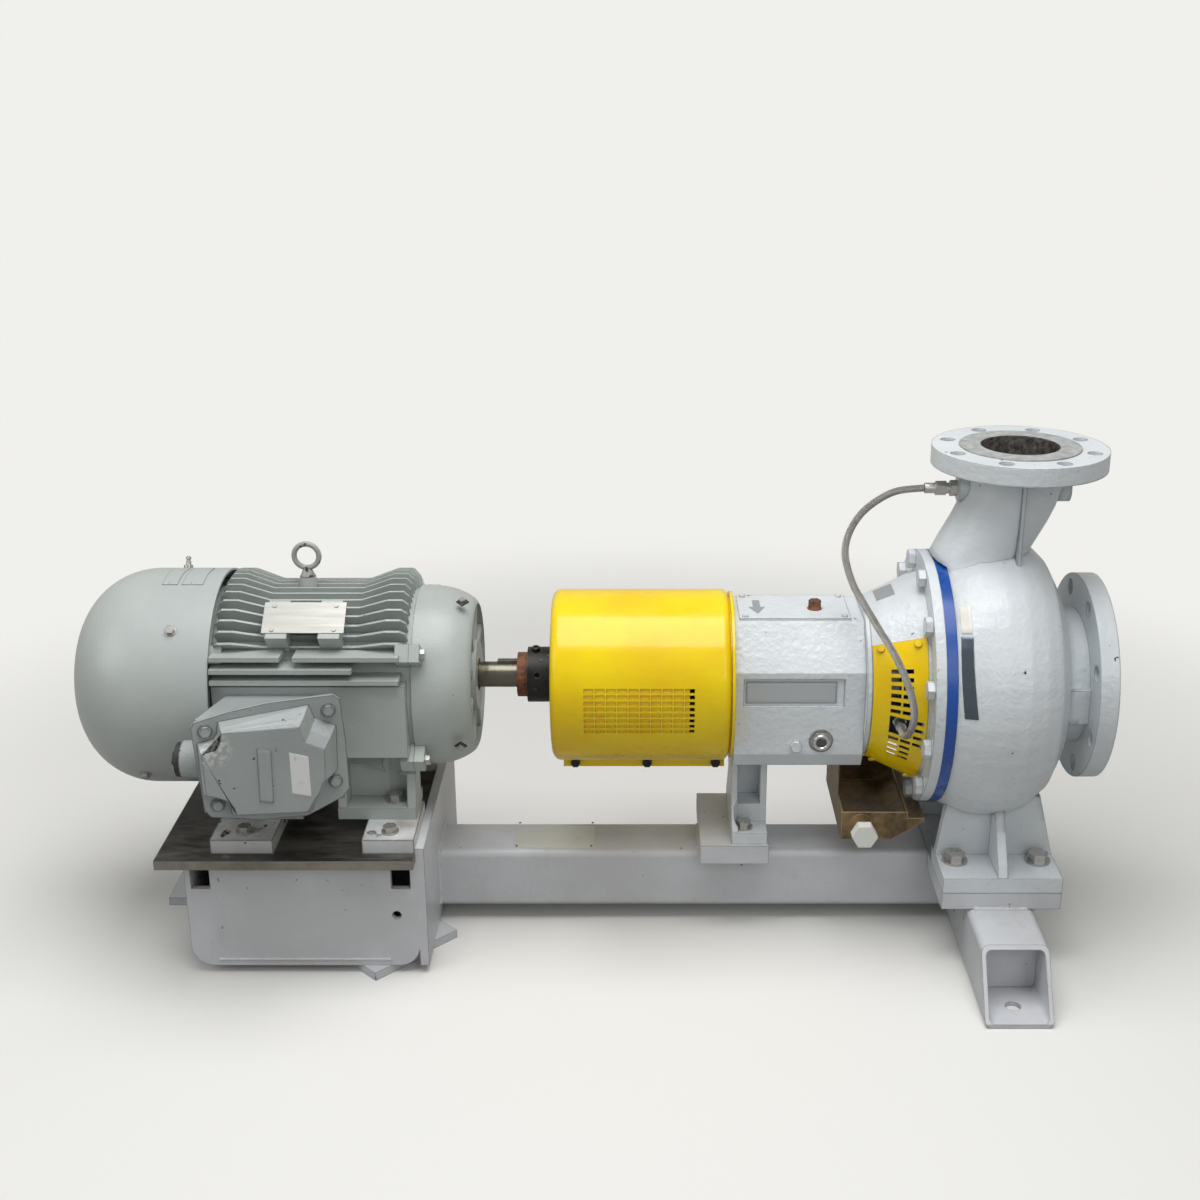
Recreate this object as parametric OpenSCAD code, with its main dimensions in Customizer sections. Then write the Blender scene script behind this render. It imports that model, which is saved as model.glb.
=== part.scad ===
// Close-coupled view of a process pump set: electric motor, guarded coupling,
// bearing housing, adapter and end-suction volute pump on one welded base.
// The origin lies on the floor, midway between the two anchor holes of the pump leg.
// +X runs along the shaft to the suction flange, -Y is the front, +Z is up.

/* [Shaft heights] */
// Height of the shaft above the pump feet
casing_centre_h = 250; // [244:1:262]
// Height of the shaft above the motor feet
motor_centre_h = 160; // [157:1:168]

/* [Pump casing] */
// Length of the casing feet along the shaft
casing_foot_l = 159; // [154:1:170]
// Distance from the middle of the casing to the tip of a foot
casing_foot_reach = 159; // [152:1:170]
// Thickness of the casing feet
casing_foot_t = 22; // [16:1:28]
// Radius of the casing at its bolted rim
casing_rim_r = 172; // [170:0.5:178]
// Wall of the cast casing
casing_wall = 10; // [8:0.5:13]
// How far the scroll grows by the end of its turn
scroll_growth = 22; // [12:1:30]
// Radius of the suction nozzle outside
suction_nozzle_r = 92; // [88:1:98]
// Distance of the suction flange face from the anchor holes
suction_reach = 137; // [132:1:150]
// Height of the discharge flange face above the shaft
discharge_h = 323; // [312:1:335]
// Offset of the discharge flange from the anchor holes along the shaft
discharge_x = 13.5; // [8:0.5:20]
// Outer radius of the discharge neck
neck_r = 63; // [60:0.5:68]

/* [Flanges] */
// Diameter of the discharge flange
discharge_flange_d = 228.6; // [220:0.1:240]
// Thickness of the discharge flange
discharge_flange_t = 24; // [20:0.5:30]
// Bore of the discharge
discharge_bore_d = 102; // [96:0.5:106]
// Bolt circle of the discharge flange
discharge_pcd = 190.5; // [185:0.1:196]
// Bolt hole of the discharge flange
discharge_hole_d = 19.1; // [16:0.1:22]
// Diameter of the suction flange
suction_flange_d = 279.4; // [272:0.1:290]
// Thickness of the suction flange
suction_flange_t = 25.4; // [22:0.1:30]
// Bore of the suction
suction_bore_d = 153; // [146:0.5:158]
// Bolt circle of the suction flange
suction_pcd = 241.3; // [236:0.1:246]
// Bolt hole of the suction flange
suction_hole_d = 22.2; // [19:0.1:25]
// Bolts in each pipe flange
flange_bolts = 8; // [8]
// Height of the raised gasket faces
raised_face_t = 1.6; // [1:0.1:3]

/* [Pump back end] */
// Thickness of the casing cover rim
cover_rim_t = 14; // [12:0.5:18]
// Length of the adapter
adapter_l = 91.5; // [88:0.5:105]
// Thickness of the adapter flange
adapter_flange_t = 14; // [11:0.5:18]
// Radius of the adapter at the bearing housing
adapter_small_r = 106; // [102:0.5:110]
// Radius of the adapter at its flange
adapter_large_r = 143; // [138:0.5:144]
// Wall of the adapter
adapter_wall = 9; // [7:0.5:12]
// Radius of the casing bolt circle
casing_bolt_r = 159; // [158:0.5:161]
// Number of casing bolts
casing_bolts = 12; // [8:2:12]
// Length of the bearing housing
housing_l = 172.5; // [165:0.5:185]
// Half width of the bearing housing
housing_half_w = 90; // [84:0.5:96]
// Height of the housing top above the shaft
housing_top_h = 96; // [88:0.5:102]
// Depth of the housing bottom below the shaft
housing_bottom_h = 100; // [94:0.5:106]
// Thickness of the plate on top of the housing
top_cover_t = 3; // [2:0.5:6]

/* [Pump shaft] */
// Radius of the pump shaft in its bearings
pump_shaft_r = 24; // [22:0.5:26]
// Radius of the coupling end of the pump shaft
pump_end_r = 19; // [17:0.5:20]
// Outer radius of the pump bearings
pump_bearing_r = 50; // [46:0.5:54]
// Width of the pump bearings
pump_bearing_w = 27; // [22:1:32]
// Outer radius of the impeller
impeller_r = 126; // [118:1:130]
// Number of impeller blades
impeller_blades = 6; // [5:1:7]
// Width of the impeller outlet
impeller_outlet_w = 18; // [14:1:22]

/* [Coupling] */
// Length of the coupling guard
guard_l = 238; // [225:1:250]
// Radius of the coupling guard
guard_r = 117; // [110:0.5:122]
// Sheet thickness of the coupling guard
guard_t = 2; // [1.5:0.5:4]
// Distance between the two shaft ends
shaft_end_gap = 140; // [130:1:150]
// Radius of the coupling hubs
hub_r = 37.8; // [34:0.2:40]
// Radius of the coupling flanges
coupling_flange_r = 56; // [52:0.5:60]
// Slots in a row of the guard grille
guard_slot_cols = 10; // [8:1:11]
// Rows of slots in the guard grille
guard_slot_rows = 8; // [6:1:10]

/* [Motor] */
// Free distance between the guard and the motor
motor_gap = 102; // [96:1:110]
// Length of the drive end bell
bell_l = 77; // [70:0.5:90]
// Radius of the drive end bell
bell_r = 122; // [120:0.5:126]
// Length of the finned frame
frame_l = 260; // [252:1:275]
// Radius of the frame under its fins
frame_r = 118; // [115:0.5:121]
// Bore of the frame for the stator core
frame_bore_r = 104; // [100:0.5:106]
// Radius of the fin tips near the ends of the frame
fin_high_r = 146; // [142:0.5:150]
// Radius of the fin tips in the middle of the frame
fin_low_r = 132; // [127:0.5:136]
// Thickness of a fin
fin_t = 3.4; // [2.6:0.2:5]
// Angle between neighbouring fins
fin_pitch = 6.5; // [5.5:0.5:9]
// Length of the fan cover
fan_cover_l = 197; // [190:1:215]
// Radius of the fan cover
fan_cover_r = 146; // [146:0.5:150]
// Radius of the motor shaft extension
motor_shaft_r = 17.5; // [16:0.5:19]
// Outer radius of the motor bearings
motor_bearing_r = 42; // [38:0.5:44]
// Width of the motor bearings
motor_bearing_w = 22; // [18:1:26]
// Distance of the foot bolts from the shaft plane
motor_foot_y = 94; // [90:1:100]
// Distance between the foot bolts along the shaft
motor_foot_span = 191; // [186:1:200]
// Turn of the terminal box about the upright
terminal_box_turn = 14; // [10:1:20]

/* [Base] */
// Side of the square tubes
tube_s = 88; // [80:1:96]
// Wall of the square tubes
tube_wall = 6; // [4:0.5:8]
// Thickness of the sole plate under the casing
sole_plate_t = 24; // [20:1:30]
// Height of the beam bottom above the floor
beam_floor_gap = 24; // [14:1:30]
// Length of the pump leg at the floor
leg_l = 606; // [580:1:640]
// Distance between the anchor holes
anchor_span = 524; // [500:1:550]
// Diameter of the anchor holes
anchor_hole_d = 20; // [16:0.5:24]
// Thickness of the pedestal plate
pedestal_t = 8; // [6:0.5:12]
// Half depth of the pedestal
pedestal_half_d = 176; // [170:1:184]
// Thickness of the motor plate
motor_plate_t = 13; // [10:0.5:18]
// Thickness of the motor pads
motor_pad_t = 20; // [14:0.5:26]
// Thickness of the lugs under the pedestal
lug_t = 12; // [8:0.5:16]

/* [Hidden] */
$fn = 64;

// Clearances: seat between still pieces, running gap of a shaft, gap between free faces
seat_gap = 0.05;
run_gap = 0.06;
free_gap = 0.3;
cut = 1;

// Heights above the floor
sole_top_z = tube_s + sole_plate_t;
shaft_z = sole_top_z + casing_centre_h;
discharge_z = shaft_z + discharge_h;
beam_top_z = beam_floor_gap + tube_s;
motor_foot_z = shaft_z - motor_centre_h;
motor_plate_z = motor_foot_z - motor_pad_t - motor_plate_t;

// Stations along the shaft, from the pump casing back to the fan cover
x_casing = -casing_foot_l / 2;
x_cover = x_casing - cover_rim_t;
x_flange = x_cover - adapter_flange_t;
x_housing1 = x_cover - adapter_l;
x_housing0 = x_housing1 - housing_l;
guard_gap = 5.5;
x_guard1 = x_housing0 - guard_gap;
x_guard0 = x_guard1 - guard_l;
x_bell1 = x_guard0 - motor_gap;
x_bell0 = x_bell1 - bell_l;
x_frame0 = x_bell0 - frame_l;
fan_overlap = 3;
x_fan0 = x_frame0 + fan_overlap - fan_cover_l;

// Shaft ends and coupling stations
motor_end_reach = 118;
x_motor_end = x_bell1 + motor_end_reach;
x_pump_end = x_motor_end + shaft_end_gap;
bush_l = 14;
bush_r = 30.4;
x_bush = x_bell1 + 53.5;
coupling_flange_t = 8;
disc_pack_t = 8;
coupling_screws = 6;
coupling_screw_r = coupling_flange_r - 9;

// Bearing stations
motor_bearing_x = [x_frame0 - 24, x_bell0 + 22];
pump_bearing_x = [x_housing0 + 22, x_housing1 - 50];
motor_journal_r = 22;
rear_bell_l = 30;

// Motor feet and pedestal stations
x_drive_foot = x_bell0 - 31;
x_fan_foot = x_drive_foot - motor_foot_span;
drive_pad_l = 68;
fan_pad_l = 82;
end_plate_t = 12;
x_ped1 = x_drive_foot + drive_pad_l / 2 + end_plate_t;
x_ped0 = x_ped1 - 317;
motor_plate_over = 31;
motor_plate_half_d = pedestal_half_d + 22;

module at_shaft(x = 0) {
    translate([x, 0, shaft_z]) children();
}

// Turns a shape drawn upwards so that it points along +X, at station x on the shaft
module along_x(x) {
    at_shaft(x) rotate([0, 90, 0]) children();
}

// Copies round the shaft; angles run from the top towards the front
module round_shaft(angles, r, x = 0) {
    at_shaft(x) for (a = angles) rotate([a, 0, 0]) translate([0, 0, r]) children();
}

function spread(n, first = 0) = [for (i = [0 : n - 1]) first + i * 360 / n];

module both_sides() {
    children();
    mirror([0, 1, 0]) children();
}

module rounded_rect(w, h, r) {
    square([w - 2 * r, h], center = true);
    square([w, h - 2 * r], center = true);
    for (sx = [-1, 1], sy = [-1, 1]) translate([sx * (w / 2 - r), sy * (h / 2 - r)]) circle(r);
}

module tube_section(wall = tube_wall) {
    corner = 10;
    difference() {
        rounded_rect(tube_s, tube_s, corner);
        rounded_rect(tube_s - 2 * wall, tube_s - 2 * wall, corner - wall / 2);
    }
}

// Hexagon bolt standing on the plane z = 0, with its shank below it and an optional washer
module hex_bolt(af, head_h, d, len, washer_t = 0) {
    if (washer_t > 0) cylinder(r = af * 0.72, h = washer_t, $fn = 40);
    translate([0, 0, washer_t]) cylinder(r = af / sqrt(3), h = head_h, $fn = 6);
    translate([0, 0, -len]) cylinder(d = d, h = len + washer_t + head_h / 2, $fn = 32);
}

// Closed skin through rings of equal point count, capped at both ends
module loft(rings) {
    n = len(rings[0]);
    m = len(rings);
    points = [for (ring = rings) each ring];
    sides = [for (k = [0 : m - 2], i = [0 : n - 1])
        each [[k * n + i, (k + 1) * n + i, (k + 1) * n + (i + 1) % n],
              [k * n + i, (k + 1) * n + (i + 1) % n, k * n + (i + 1) % n]]];
    first = [[for (i = [0 : n - 1]) i]];
    last = [[for (i = [0 : n - 1]) (m - 1) * n + n - 1 - i]];
    polyhedron(points, concat(sides, first, last), convexity = 4);
}

// Half outline of a turned body with its closed end on y = 0: from the middle of the end outwards, round
// a short arc, up a long arc that ends at a distance from the end, then straight; inset moves it inwards
arc_steps = 14;
function arc(x, y, r, from, to) = [for (i = [0 : arc_steps]) let (a = from + (to - from) * i / arc_steps)
    [x + r * cos(a), y + r * sin(a)]];
function turned_points(r, l, long_r, short_r, start, inset = 0) =
    let (long_x = r - long_r, short_x = long_x + sqrt(pow(long_r - short_r, 2) - pow(start - short_r, 2)),
        lean = atan2(start - short_r, short_x - long_x))
    concat([[0, inset]], arc(short_x, short_r, short_r - inset, -90, -lean),
        [for (i = [1 : arc_steps]) arc(long_x, start, long_r - inset, -lean, 0)[i]],
        [[r - inset, l + (inset > 0 ? cut : 0)], [0, l + (inset > 0 ? cut : 0)]]);

function bezier(p, t) = p[0] * pow(1 - t, 3) + p[1] * 3 * t * pow(1 - t, 2)
    + p[2] * 3 * t * t * (1 - t) + p[3] * pow(t, 3);

// Deep groove ball bearing: rings revolve about the upright at the middle of the bearing
function ball_r(bore_r, outer_r) = (outer_r - bore_r) * 0.29;
module bearing_ring(r_in, r_out, w, ball_path, ball) {
    rotate_extrude() difference() {
        translate([r_in, -w / 2]) square([r_out - r_in, w]);
        translate([ball_path, 0]) circle(ball + free_gap, $fn = 40);
    }
}
module outer_race(bore_r, outer_r, w) {
    path = (bore_r + outer_r) / 2;
    ball = ball_r(bore_r, outer_r);
    bearing_ring(path + ball * 0.45, outer_r, w, path, ball);
    for (a = spread(9)) rotate(a) translate([path, 0, 0]) sphere(ball, $fn = 32);
}
module inner_race(bore_r, outer_r, w) {
    path = (bore_r + outer_r) / 2;
    ball = ball_r(bore_r, outer_r);
    bearing_ring(bore_r, path - ball * 0.45, w, path, ball);
}

// Welded base

// The beam ends under the sole plate, against the side of the pump leg
module base_beam() {
    color("lightgray") difference() {
        translate([x_ped1, 0, beam_floor_gap + tube_s / 2]) rotate([90, 0, 90])
            linear_extrude(-x_ped1 - tube_s / 2) tube_section();
        translate([x_casing, -tube_s, tube_s]) cube([casing_foot_l, 2 * tube_s, tube_s]);
    }
}

leg_top_l = leg_l - 1.3 * tube_s;
leg_stop_y = anchor_span / 2 - 47;
module pump_leg() {
    stop_s = tube_s - 2 * tube_wall;
    color("whitesmoke") difference() {
        union() {
            translate([0, leg_l / 2, tube_s / 2]) rotate([90, 0, 0])
                linear_extrude(leg_l) tube_section();
            for (s = [-1, 1]) translate([0, s * leg_stop_y, tube_s / 2])
                cube([stop_s, tube_wall, stop_s], center = true);
        }
        both_sides() rotate([90, 0, 90]) linear_extrude(2 * tube_s, center = true)
            polygon([[-leg_l / 2 - cut, tube_wall], [-leg_l / 2, tube_wall],
                [-leg_top_l / 2, tube_s + cut], [-leg_l / 2 - cut, tube_s + cut]]);
        for (s = [-1, 1]) translate([0, s * anchor_span / 2, -cut])
            cylinder(d = anchor_hole_d, h = tube_wall + 2 * cut);
    }
}

casing_bolt_pos = [casing_foot_l / 2 - 23.5, casing_foot_reach - 49];
casing_stud_d = 16;
module sole_plate() {
    color("white") difference() {
        translate([0, 0, tube_s + sole_plate_t / 2])
            cube([casing_foot_l, 2 * casing_foot_reach, sole_plate_t], center = true);
        casing_foot_holes(casing_stud_d + 2 * seat_gap, sole_plate_t + cut);
    }
}
module casing_foot_holes(d, depth) {
    for (sx = [-1, 1], sy = [-1, 1])
        translate([sx * casing_bolt_pos[0], sy * casing_bolt_pos[1], sole_top_z - depth])
            cylinder(d = d, h = depth + casing_foot_t + cut, $fn = 48);
}

pad_half_d = 80;
support_foot_l = 49;
x_support = x_housing0 + 1;
pad_l = 94;
pad_t = 28;
pad_top_z = beam_top_z + pad_t;
support_bolt_y = 55;
support_bolt_x = x_support + 17;
support_bolt_d = 12;
support_flange_t = 16;
module bearing_pad() {
    color("silver") difference() {
        translate([x_support + support_foot_l + 2 - pad_l, -pad_half_d, beam_top_z])
            cube([pad_l, 2 * pad_half_d, pad_t]);
        support_holes(support_bolt_d + 2 * seat_gap, pad_t * 0.8);
    }
}
module support_holes(d, depth) {
    for (s = [-1, 1]) translate([support_bolt_x, s * support_bolt_y, pad_top_z - depth])
        cylinder(d = d, h = depth + support_flange_t + cut);
}

pedestal_bend_r = 28;
module pedestal_outline(t) {
    w = x_ped1 - end_plate_t - x_ped0 - 2 * t;
    h = motor_plate_z - lug_t - t;
    r = pedestal_bend_r - t;
    translate([x_ped0 + t, lug_t + t]) {
        translate([0, r]) square([w, h - r + (t > 0 ? cut : 0)]);
        translate([r, 0]) square([w - 2 * r, h / 2]);
        for (x = [r, w - r]) translate([x, r]) circle(r);
    }
}
pedestal_notch = [26, 40];
module motor_pedestal() {
    notch_z = motor_plate_z - pedestal_notch[1];
    x_right = x_ped1 - end_plate_t;
    color("gainsboro") {
        rotate([90, 0, 0]) linear_extrude(2 * pedestal_half_d, center = true) difference() {
            pedestal_outline(0);
            pedestal_outline(pedestal_t);
        }
        both_sides() difference() {
            translate([0, pedestal_t - pedestal_half_d, 0]) rotate([90, 0, 0])
                linear_extrude(pedestal_t) intersection() {
                    pedestal_outline(pedestal_t);
                    translate([x_ped0, 0]) square([x_right - x_ped0, motor_plate_z]);
                }
            for (x = [x_ped0 + pedestal_t - cut, x_right - pedestal_t - pedestal_notch[0] + cut])
                translate([x, -pedestal_half_d - cut, notch_z])
                    cube([pedestal_notch[0], pedestal_t + 2 * cut, pedestal_notch[1] + cut]);
            translate([x_ped1 - 40, -pedestal_half_d - cut, lug_t + 77]) rotate([-90, 0, 0])
                cylinder(d = 12, h = pedestal_t + 2 * cut);
        }
        translate([x_right, -pedestal_half_d, lug_t])
            cube([end_plate_t, 2 * pedestal_half_d, motor_foot_z - 14 - lug_t]);
    }
}
module motor_plate() {
    x0 = x_ped0 - motor_plate_over;
    color("dimgray") translate([x0, -motor_plate_half_d, motor_plate_z])
        cube([x_ped1 - end_plate_t - x0, 2 * motor_plate_half_d, motor_plate_t]);
}

lug_s = 92;
module anchor_lugs() {
    color("lightsteelblue") {
        translate([x_ped0 - 82, 0, 0]) cube([150, 80, lug_t]);
        both_sides() translate([x_ped1 - 70, -pedestal_half_d + 46, 0]) diamond_lug();
        translate([x_ped0 + 70, -pedestal_half_d + 46, 0]) cube([lug_s, lug_s, lug_t]);
        translate([x_ped1 - 38, -87, 0]) diamond_lug();
    }
}
module diamond_lug() {
    rotate(45) translate([-lug_s / 2, -lug_s / 2, 0]) cube([lug_s, lug_s, lug_t]);
}

motor_bolt_d = 12;
pad_bolt_d = 10;
pad_front_y = 178;
pad_back_y = 66;
foot_t = 16;
pad_screw_y = pad_front_y - 23;
module motor_pads() {
    color("white") both_sides() difference() {
        for (p = [[x_drive_foot, drive_pad_l], [x_fan_foot, fan_pad_l]])
            translate([p[0] - p[1] / 2, -pad_front_y, motor_plate_z + motor_plate_t])
                cube([p[1], pad_front_y - pad_back_y, motor_pad_t]);
        for (x = [x_drive_foot, x_fan_foot]) {
            translate([x, -motor_foot_y, motor_foot_z - motor_pad_t * 0.8])
                cylinder(d = motor_bolt_d + 2 * seat_gap, h = motor_pad_t);
            translate([x, -pad_screw_y, motor_foot_z - motor_pad_t * 0.8])
                cylinder(d = pad_bolt_d + 2 * seat_gap, h = motor_pad_t);
            translate([x - 24, -pad_screw_y - 2, motor_foot_z - motor_pad_t * 0.8])
                cylinder(d = 10, h = motor_pad_t);
        }
    }
}

// Bolts that hold the motor feet, the pads, the casing feet and the support foot
module base_bolts() {
    color("silver") {
        both_sides() for (x = [x_drive_foot, x_fan_foot]) {
            translate([x, -motor_foot_y, motor_foot_z + foot_t])
                hex_bolt(19, 8, motor_bolt_d, foot_t + motor_pad_t * 0.7, 2.5);
            translate([x, -pad_screw_y, motor_foot_z])
                hex_bolt(16, 7, pad_bolt_d, motor_pad_t * 0.7, 2.5);
        }
        for (sx = [-1, 1], sy = [-1, 1])
            translate([sx * casing_bolt_pos[0], sy * casing_bolt_pos[1], sole_top_z + casing_foot_t])
                hex_bolt(24, 10, casing_stud_d, casing_foot_t + sole_plate_t * 0.9, 3);
        for (s = [-1, 1]) translate([support_bolt_x, s * support_bolt_y, pad_top_z + support_flange_t])
            hex_bolt(18, 8, support_bolt_d, support_flange_t + pad_t * 0.7, 2.5);
    }
}

// Motor

// One cooling fin in the plane of the shaft, high near both ends and low between
fin_end = 6;
fin_top_l = 26;
fin_slope_l = 38;
module fin_outline() {
    r0 = frame_r - 6;
    a = fin_end;
    b = frame_l - fin_end;
    polygon([[a, r0], [a, fin_high_r - 8], [a + 7, fin_high_r], [a + fin_top_l, fin_high_r],
        [a + fin_top_l + fin_slope_l, fin_low_r], [b - fin_top_l - fin_slope_l, fin_low_r],
        [b - fin_top_l, fin_high_r], [b - 7, fin_high_r], [b, fin_high_r - 8], [b, r0]]);
}
fin_half_angle = 52;
fin_angles = [for (a = [-fin_half_angle : fin_pitch : fin_half_angle]) a];
low_fin_angles = [133, -133, 155, -155];
side_panel_y = frame_r + 12;
module motor_frame() {
    color("darkgray") difference() {
        union() {
            along_x(x_frame0) cylinder(r = frame_r, h = frame_l, $fn = 120);
            round_shaft(concat(fin_angles, low_fin_angles), 0, x_frame0)
                rotate([90, 0, 0]) linear_extrude(fin_t, center = true) fin_outline();
            both_sides() frame_side();
            both_sides() motor_feet();
            frame_ears();
            nameplate_pads();
            eyebolt_boss();
        }
        along_x(x_frame0 - cut) cylinder(r = frame_bore_r, h = frame_l + 2 * cut, $fn = 120);
        bell_screw_holes(bell_screw_d + 2 * seat_gap);
        both_sides() foot_bolt_holes();
        at_shaft(x_eye) translate([0, 0, eye_boss_top - 24])
            cylinder(d = eye_shank_d + 2 * seat_gap, h = 30);
        nameplate_screws(nameplate_screw_d + 2 * seat_gap);
        translate([x_tbox, -side_panel_y + 14, tbox_z]) rotate([90, 0, 0])
            cylinder(r = 22, h = 20);
    }
}

// Flat side panel with three thick ribs above it
panel_top_h = 36;
panel_bottom_h = 65;
slab_t = 6;
module frame_side() {
    at_shaft(x_frame0) {
        translate([4, -side_panel_y, -panel_bottom_h])
            cube([frame_l - 10, side_panel_y - 60, panel_top_h + panel_bottom_h]);
        for (slab = [[41, 9, 5, frame_l - 12], [56, 8, 5, frame_l - 72], [71, 3, 5, 96],
            [71, 3, 112, frame_l - 12]])
            translate([slab[2], -side_panel_y - slab[1], slab[0]])
                cube([slab[3] - slab[2], 60, slab_t]);
    }
}

foot_plate_l = 104;
foot_riser_t = 15;
module motor_feet() {
    for (x = [x_drive_foot - foot_plate_l / 2 - 22, x_fan_foot - foot_plate_l / 2 + 18]) {
        translate([x, -motor_foot_y - 26, motor_foot_z]) cube([foot_plate_l, 66, foot_t]);
        translate([x, -motor_foot_y + 12, motor_foot_z]) cube([foot_plate_l, foot_riser_t, 92]);
        for (dx = [0, foot_plate_l - 12]) translate([x + dx, 0, motor_foot_z]) rotate([90, 0, 90])
            linear_extrude(12) polygon([[-motor_foot_y - 22, foot_t - 1], [-motor_foot_y - 12, 60],
                [-motor_foot_y + 14, 92], [-motor_foot_y + 14, foot_t - 1]]);
    }
}
module foot_bolt_holes() {
    for (x = [x_drive_foot, x_fan_foot]) {
        translate([x, -motor_foot_y, motor_foot_z - cut])
            cylinder(d = motor_bolt_d + 2 * free_gap, h = foot_t + 2 * cut);
        translate([x, -motor_foot_y, motor_foot_z + foot_t]) cylinder(r = 15, h = 80);
    }
}

// Ears that take the end bell screws
bell_screw_d = 8;
bell_screw_r = 136;
rear_screw_r = 128;
cover_screw_d = 6;
bell_screw_angles = [57, -57, 124, -124];
ear_t = 18;
ear_in_r = 112;
module ear(x, t, r) {
    round_shaft(bell_screw_angles, ear_in_r, x) translate([0, -12, 0]) cube([t, 24, r + 10 - ear_in_r]);
}
module frame_ears() {
    ear(x_bell0 - ear_t, ear_t, bell_screw_r);
    ear(x_frame0, ear_t, rear_screw_r);
}
module bell_screw_holes(d) {
    round_shaft(bell_screw_angles, bell_screw_r, x_bell0 - ear_t * 0.8) rotate([0, 90, 0])
        cylinder(d = d, h = ear_t * 0.8 + bell_ear_t + cut);
    round_shaft(bell_screw_angles, rear_screw_r, x_frame0 + ear_t * 0.8) rotate([0, -90, 0])
        cylinder(d = d, h = ear_t * 0.8 + bell_ear_t + cut);
}

bell_ear_t = 14;
bell_wall = 9;
bell_hub_r = motor_bearing_r + 12;
bell_long_r = 85.5;
bell_short_r = 20;
bell_curve_l = 57.5;
bell_pocket_r = 97;
spigot_l = 8;
spigot_in_r = frame_bore_r - 9;
// Drive end bell: shell with a bearing seat, and ribbed pockets in its outer face
module drive_end_bell() {
    pocket_d = 34;
    seat_end = motor_bearing_x[1] + motor_bearing_w / 2;
    color("gray") difference() {
        union() {
            along_x(x_bell0) rotate_extrude($fn = 120) difference() {
                translate([0, bell_l]) mirror([0, 1])
                    polygon(turned_points(bell_r, bell_l, bell_long_r, bell_short_r, bell_curve_l));
                polygon([[bell_hub_r, -cut], [spigot_in_r, -cut], [spigot_in_r, bell_wall],
                    [bell_r - bell_wall - 3, bell_wall + 3], [bell_r - bell_wall - 3, bell_l - pocket_d - bell_wall],
                    [bell_hub_r, bell_l - pocket_d - bell_wall]]);
            }
            bell_spigot(x_bell0 - spigot_l);
            along_x(x_bell0 - spigot_l) cylinder(r = bell_hub_r, h = 12);
            ear(x_bell0, bell_ear_t, bell_screw_r);
        }
        bell_pockets(pocket_d);
        bell_screw_holes(bell_screw_d + 2 * seat_gap);
        along_x(x_bell0 - 10) cylinder(r = motor_bearing_r + seat_gap, h = seat_end - x_bell0 + 10);
        along_x(x_bell0) cylinder(r = motor_journal_r + run_gap, h = bell_l + cut);
    }
}
// Ring that centres an end bell in the bore of the frame
module bell_spigot(x) {
    along_x(x) difference() {
        cylinder(r = frame_bore_r - seat_gap, h = spigot_l, $fn = 120);
        translate([0, 0, -cut]) cylinder(r = spigot_in_r, h = spigot_l + 2 * cut, $fn = 120);
    }
}
// Ring pocket left open between the ribs
module bell_pockets(depth) {
    difference() {
        along_x(x_bell1 - depth) difference() {
            cylinder(r = bell_pocket_r, h = depth + cut, $fn = 120);
            translate([0, 0, -cut]) cylinder(r = bell_hub_r - 6, h = depth + 3 * cut);
        }
        round_shaft(spread(8, 22.5), 0, x_bell1 - depth) translate([-cut, -4.5, 0])
            cube([depth - 4 + cut, 9, bell_r]);
    }
}

module rear_bell() {
    color("gray") difference() {
        union() {
            along_x(x_frame0 - rear_bell_l) rotate_extrude($fn = 120) difference() {
                polygon([[0, -8], [bell_hub_r, -8], [bell_hub_r, 0], [bell_r - 14, 8], [bell_r, 18],
                    [bell_r, rear_bell_l], [0, rear_bell_l]]);
                polygon([[bell_hub_r, 16], [spigot_in_r, 18], [spigot_in_r, rear_bell_l + cut],
                    [bell_hub_r, rear_bell_l + cut]]);
            }
            bell_spigot(x_frame0);
            ear(x_frame0 - bell_ear_t, bell_ear_t, rear_screw_r);
            cover_lugs();
        }
        bell_screw_holes(bell_screw_d + 2 * seat_gap);
        cover_screw_holes();
        along_x(motor_bearing_x[0] - motor_bearing_w / 2)
            cylinder(r = motor_bearing_r + seat_gap, h = 80);
        along_x(x_frame0 - rear_bell_l - 20) cylinder(r = motor_shaft_r + run_gap, h = 60);
    }
}
// Arms that carry the fan cover at its screws, clear of the fan; each entry is an angle and a station
cover_screws = [[45, -48], [-45, -48], [133, -100], [-133, -100]];
fan_cover_t = 3;
cover_long_r = 101.4;
cover_short_r = 67.8;
cover_curve_l = 98;
cover_inner_r = fan_cover_r - fan_cover_t;
arm_in_r = bell_r - 4;
module cover_lugs() {
    for (s = cover_screws) round_shaft([s[0]], arm_in_r, x_frame0)
        translate([s[1] - 8, -10, 0]) cube([4 - s[1], 20, cover_inner_r - 2 - arm_in_r]);
}
module cover_screw_holes() {
    for (s = cover_screws) round_shaft([s[0]], arm_in_r - cut, x_frame0 + s[1])
        cylinder(d = cover_screw_d + 2 * seat_gap, h = 30, $fn = 32);
}

module bell_screws() {
    color("silver") {
        round_shaft(bell_screw_angles, bell_screw_r, x_bell0 + bell_ear_t) rotate([0, 90, 0])
            hex_bolt(13, 6, bell_screw_d, bell_ear_t + ear_t * 0.7);
        round_shaft(bell_screw_angles, rear_screw_r, x_frame0 - bell_ear_t) rotate([0, -90, 0])
            hex_bolt(13, 6, bell_screw_d, bell_ear_t + ear_t * 0.7);
        for (s = cover_screws) round_shaft([s[0]], fan_cover_r, x_frame0 + s[1])
            hex_bolt(11, 5, cover_screw_d, 14, 0.8);
    }
}

grille_rings = 4;
grille_pitch = 12;
grille_hole_d = 8;
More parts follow.
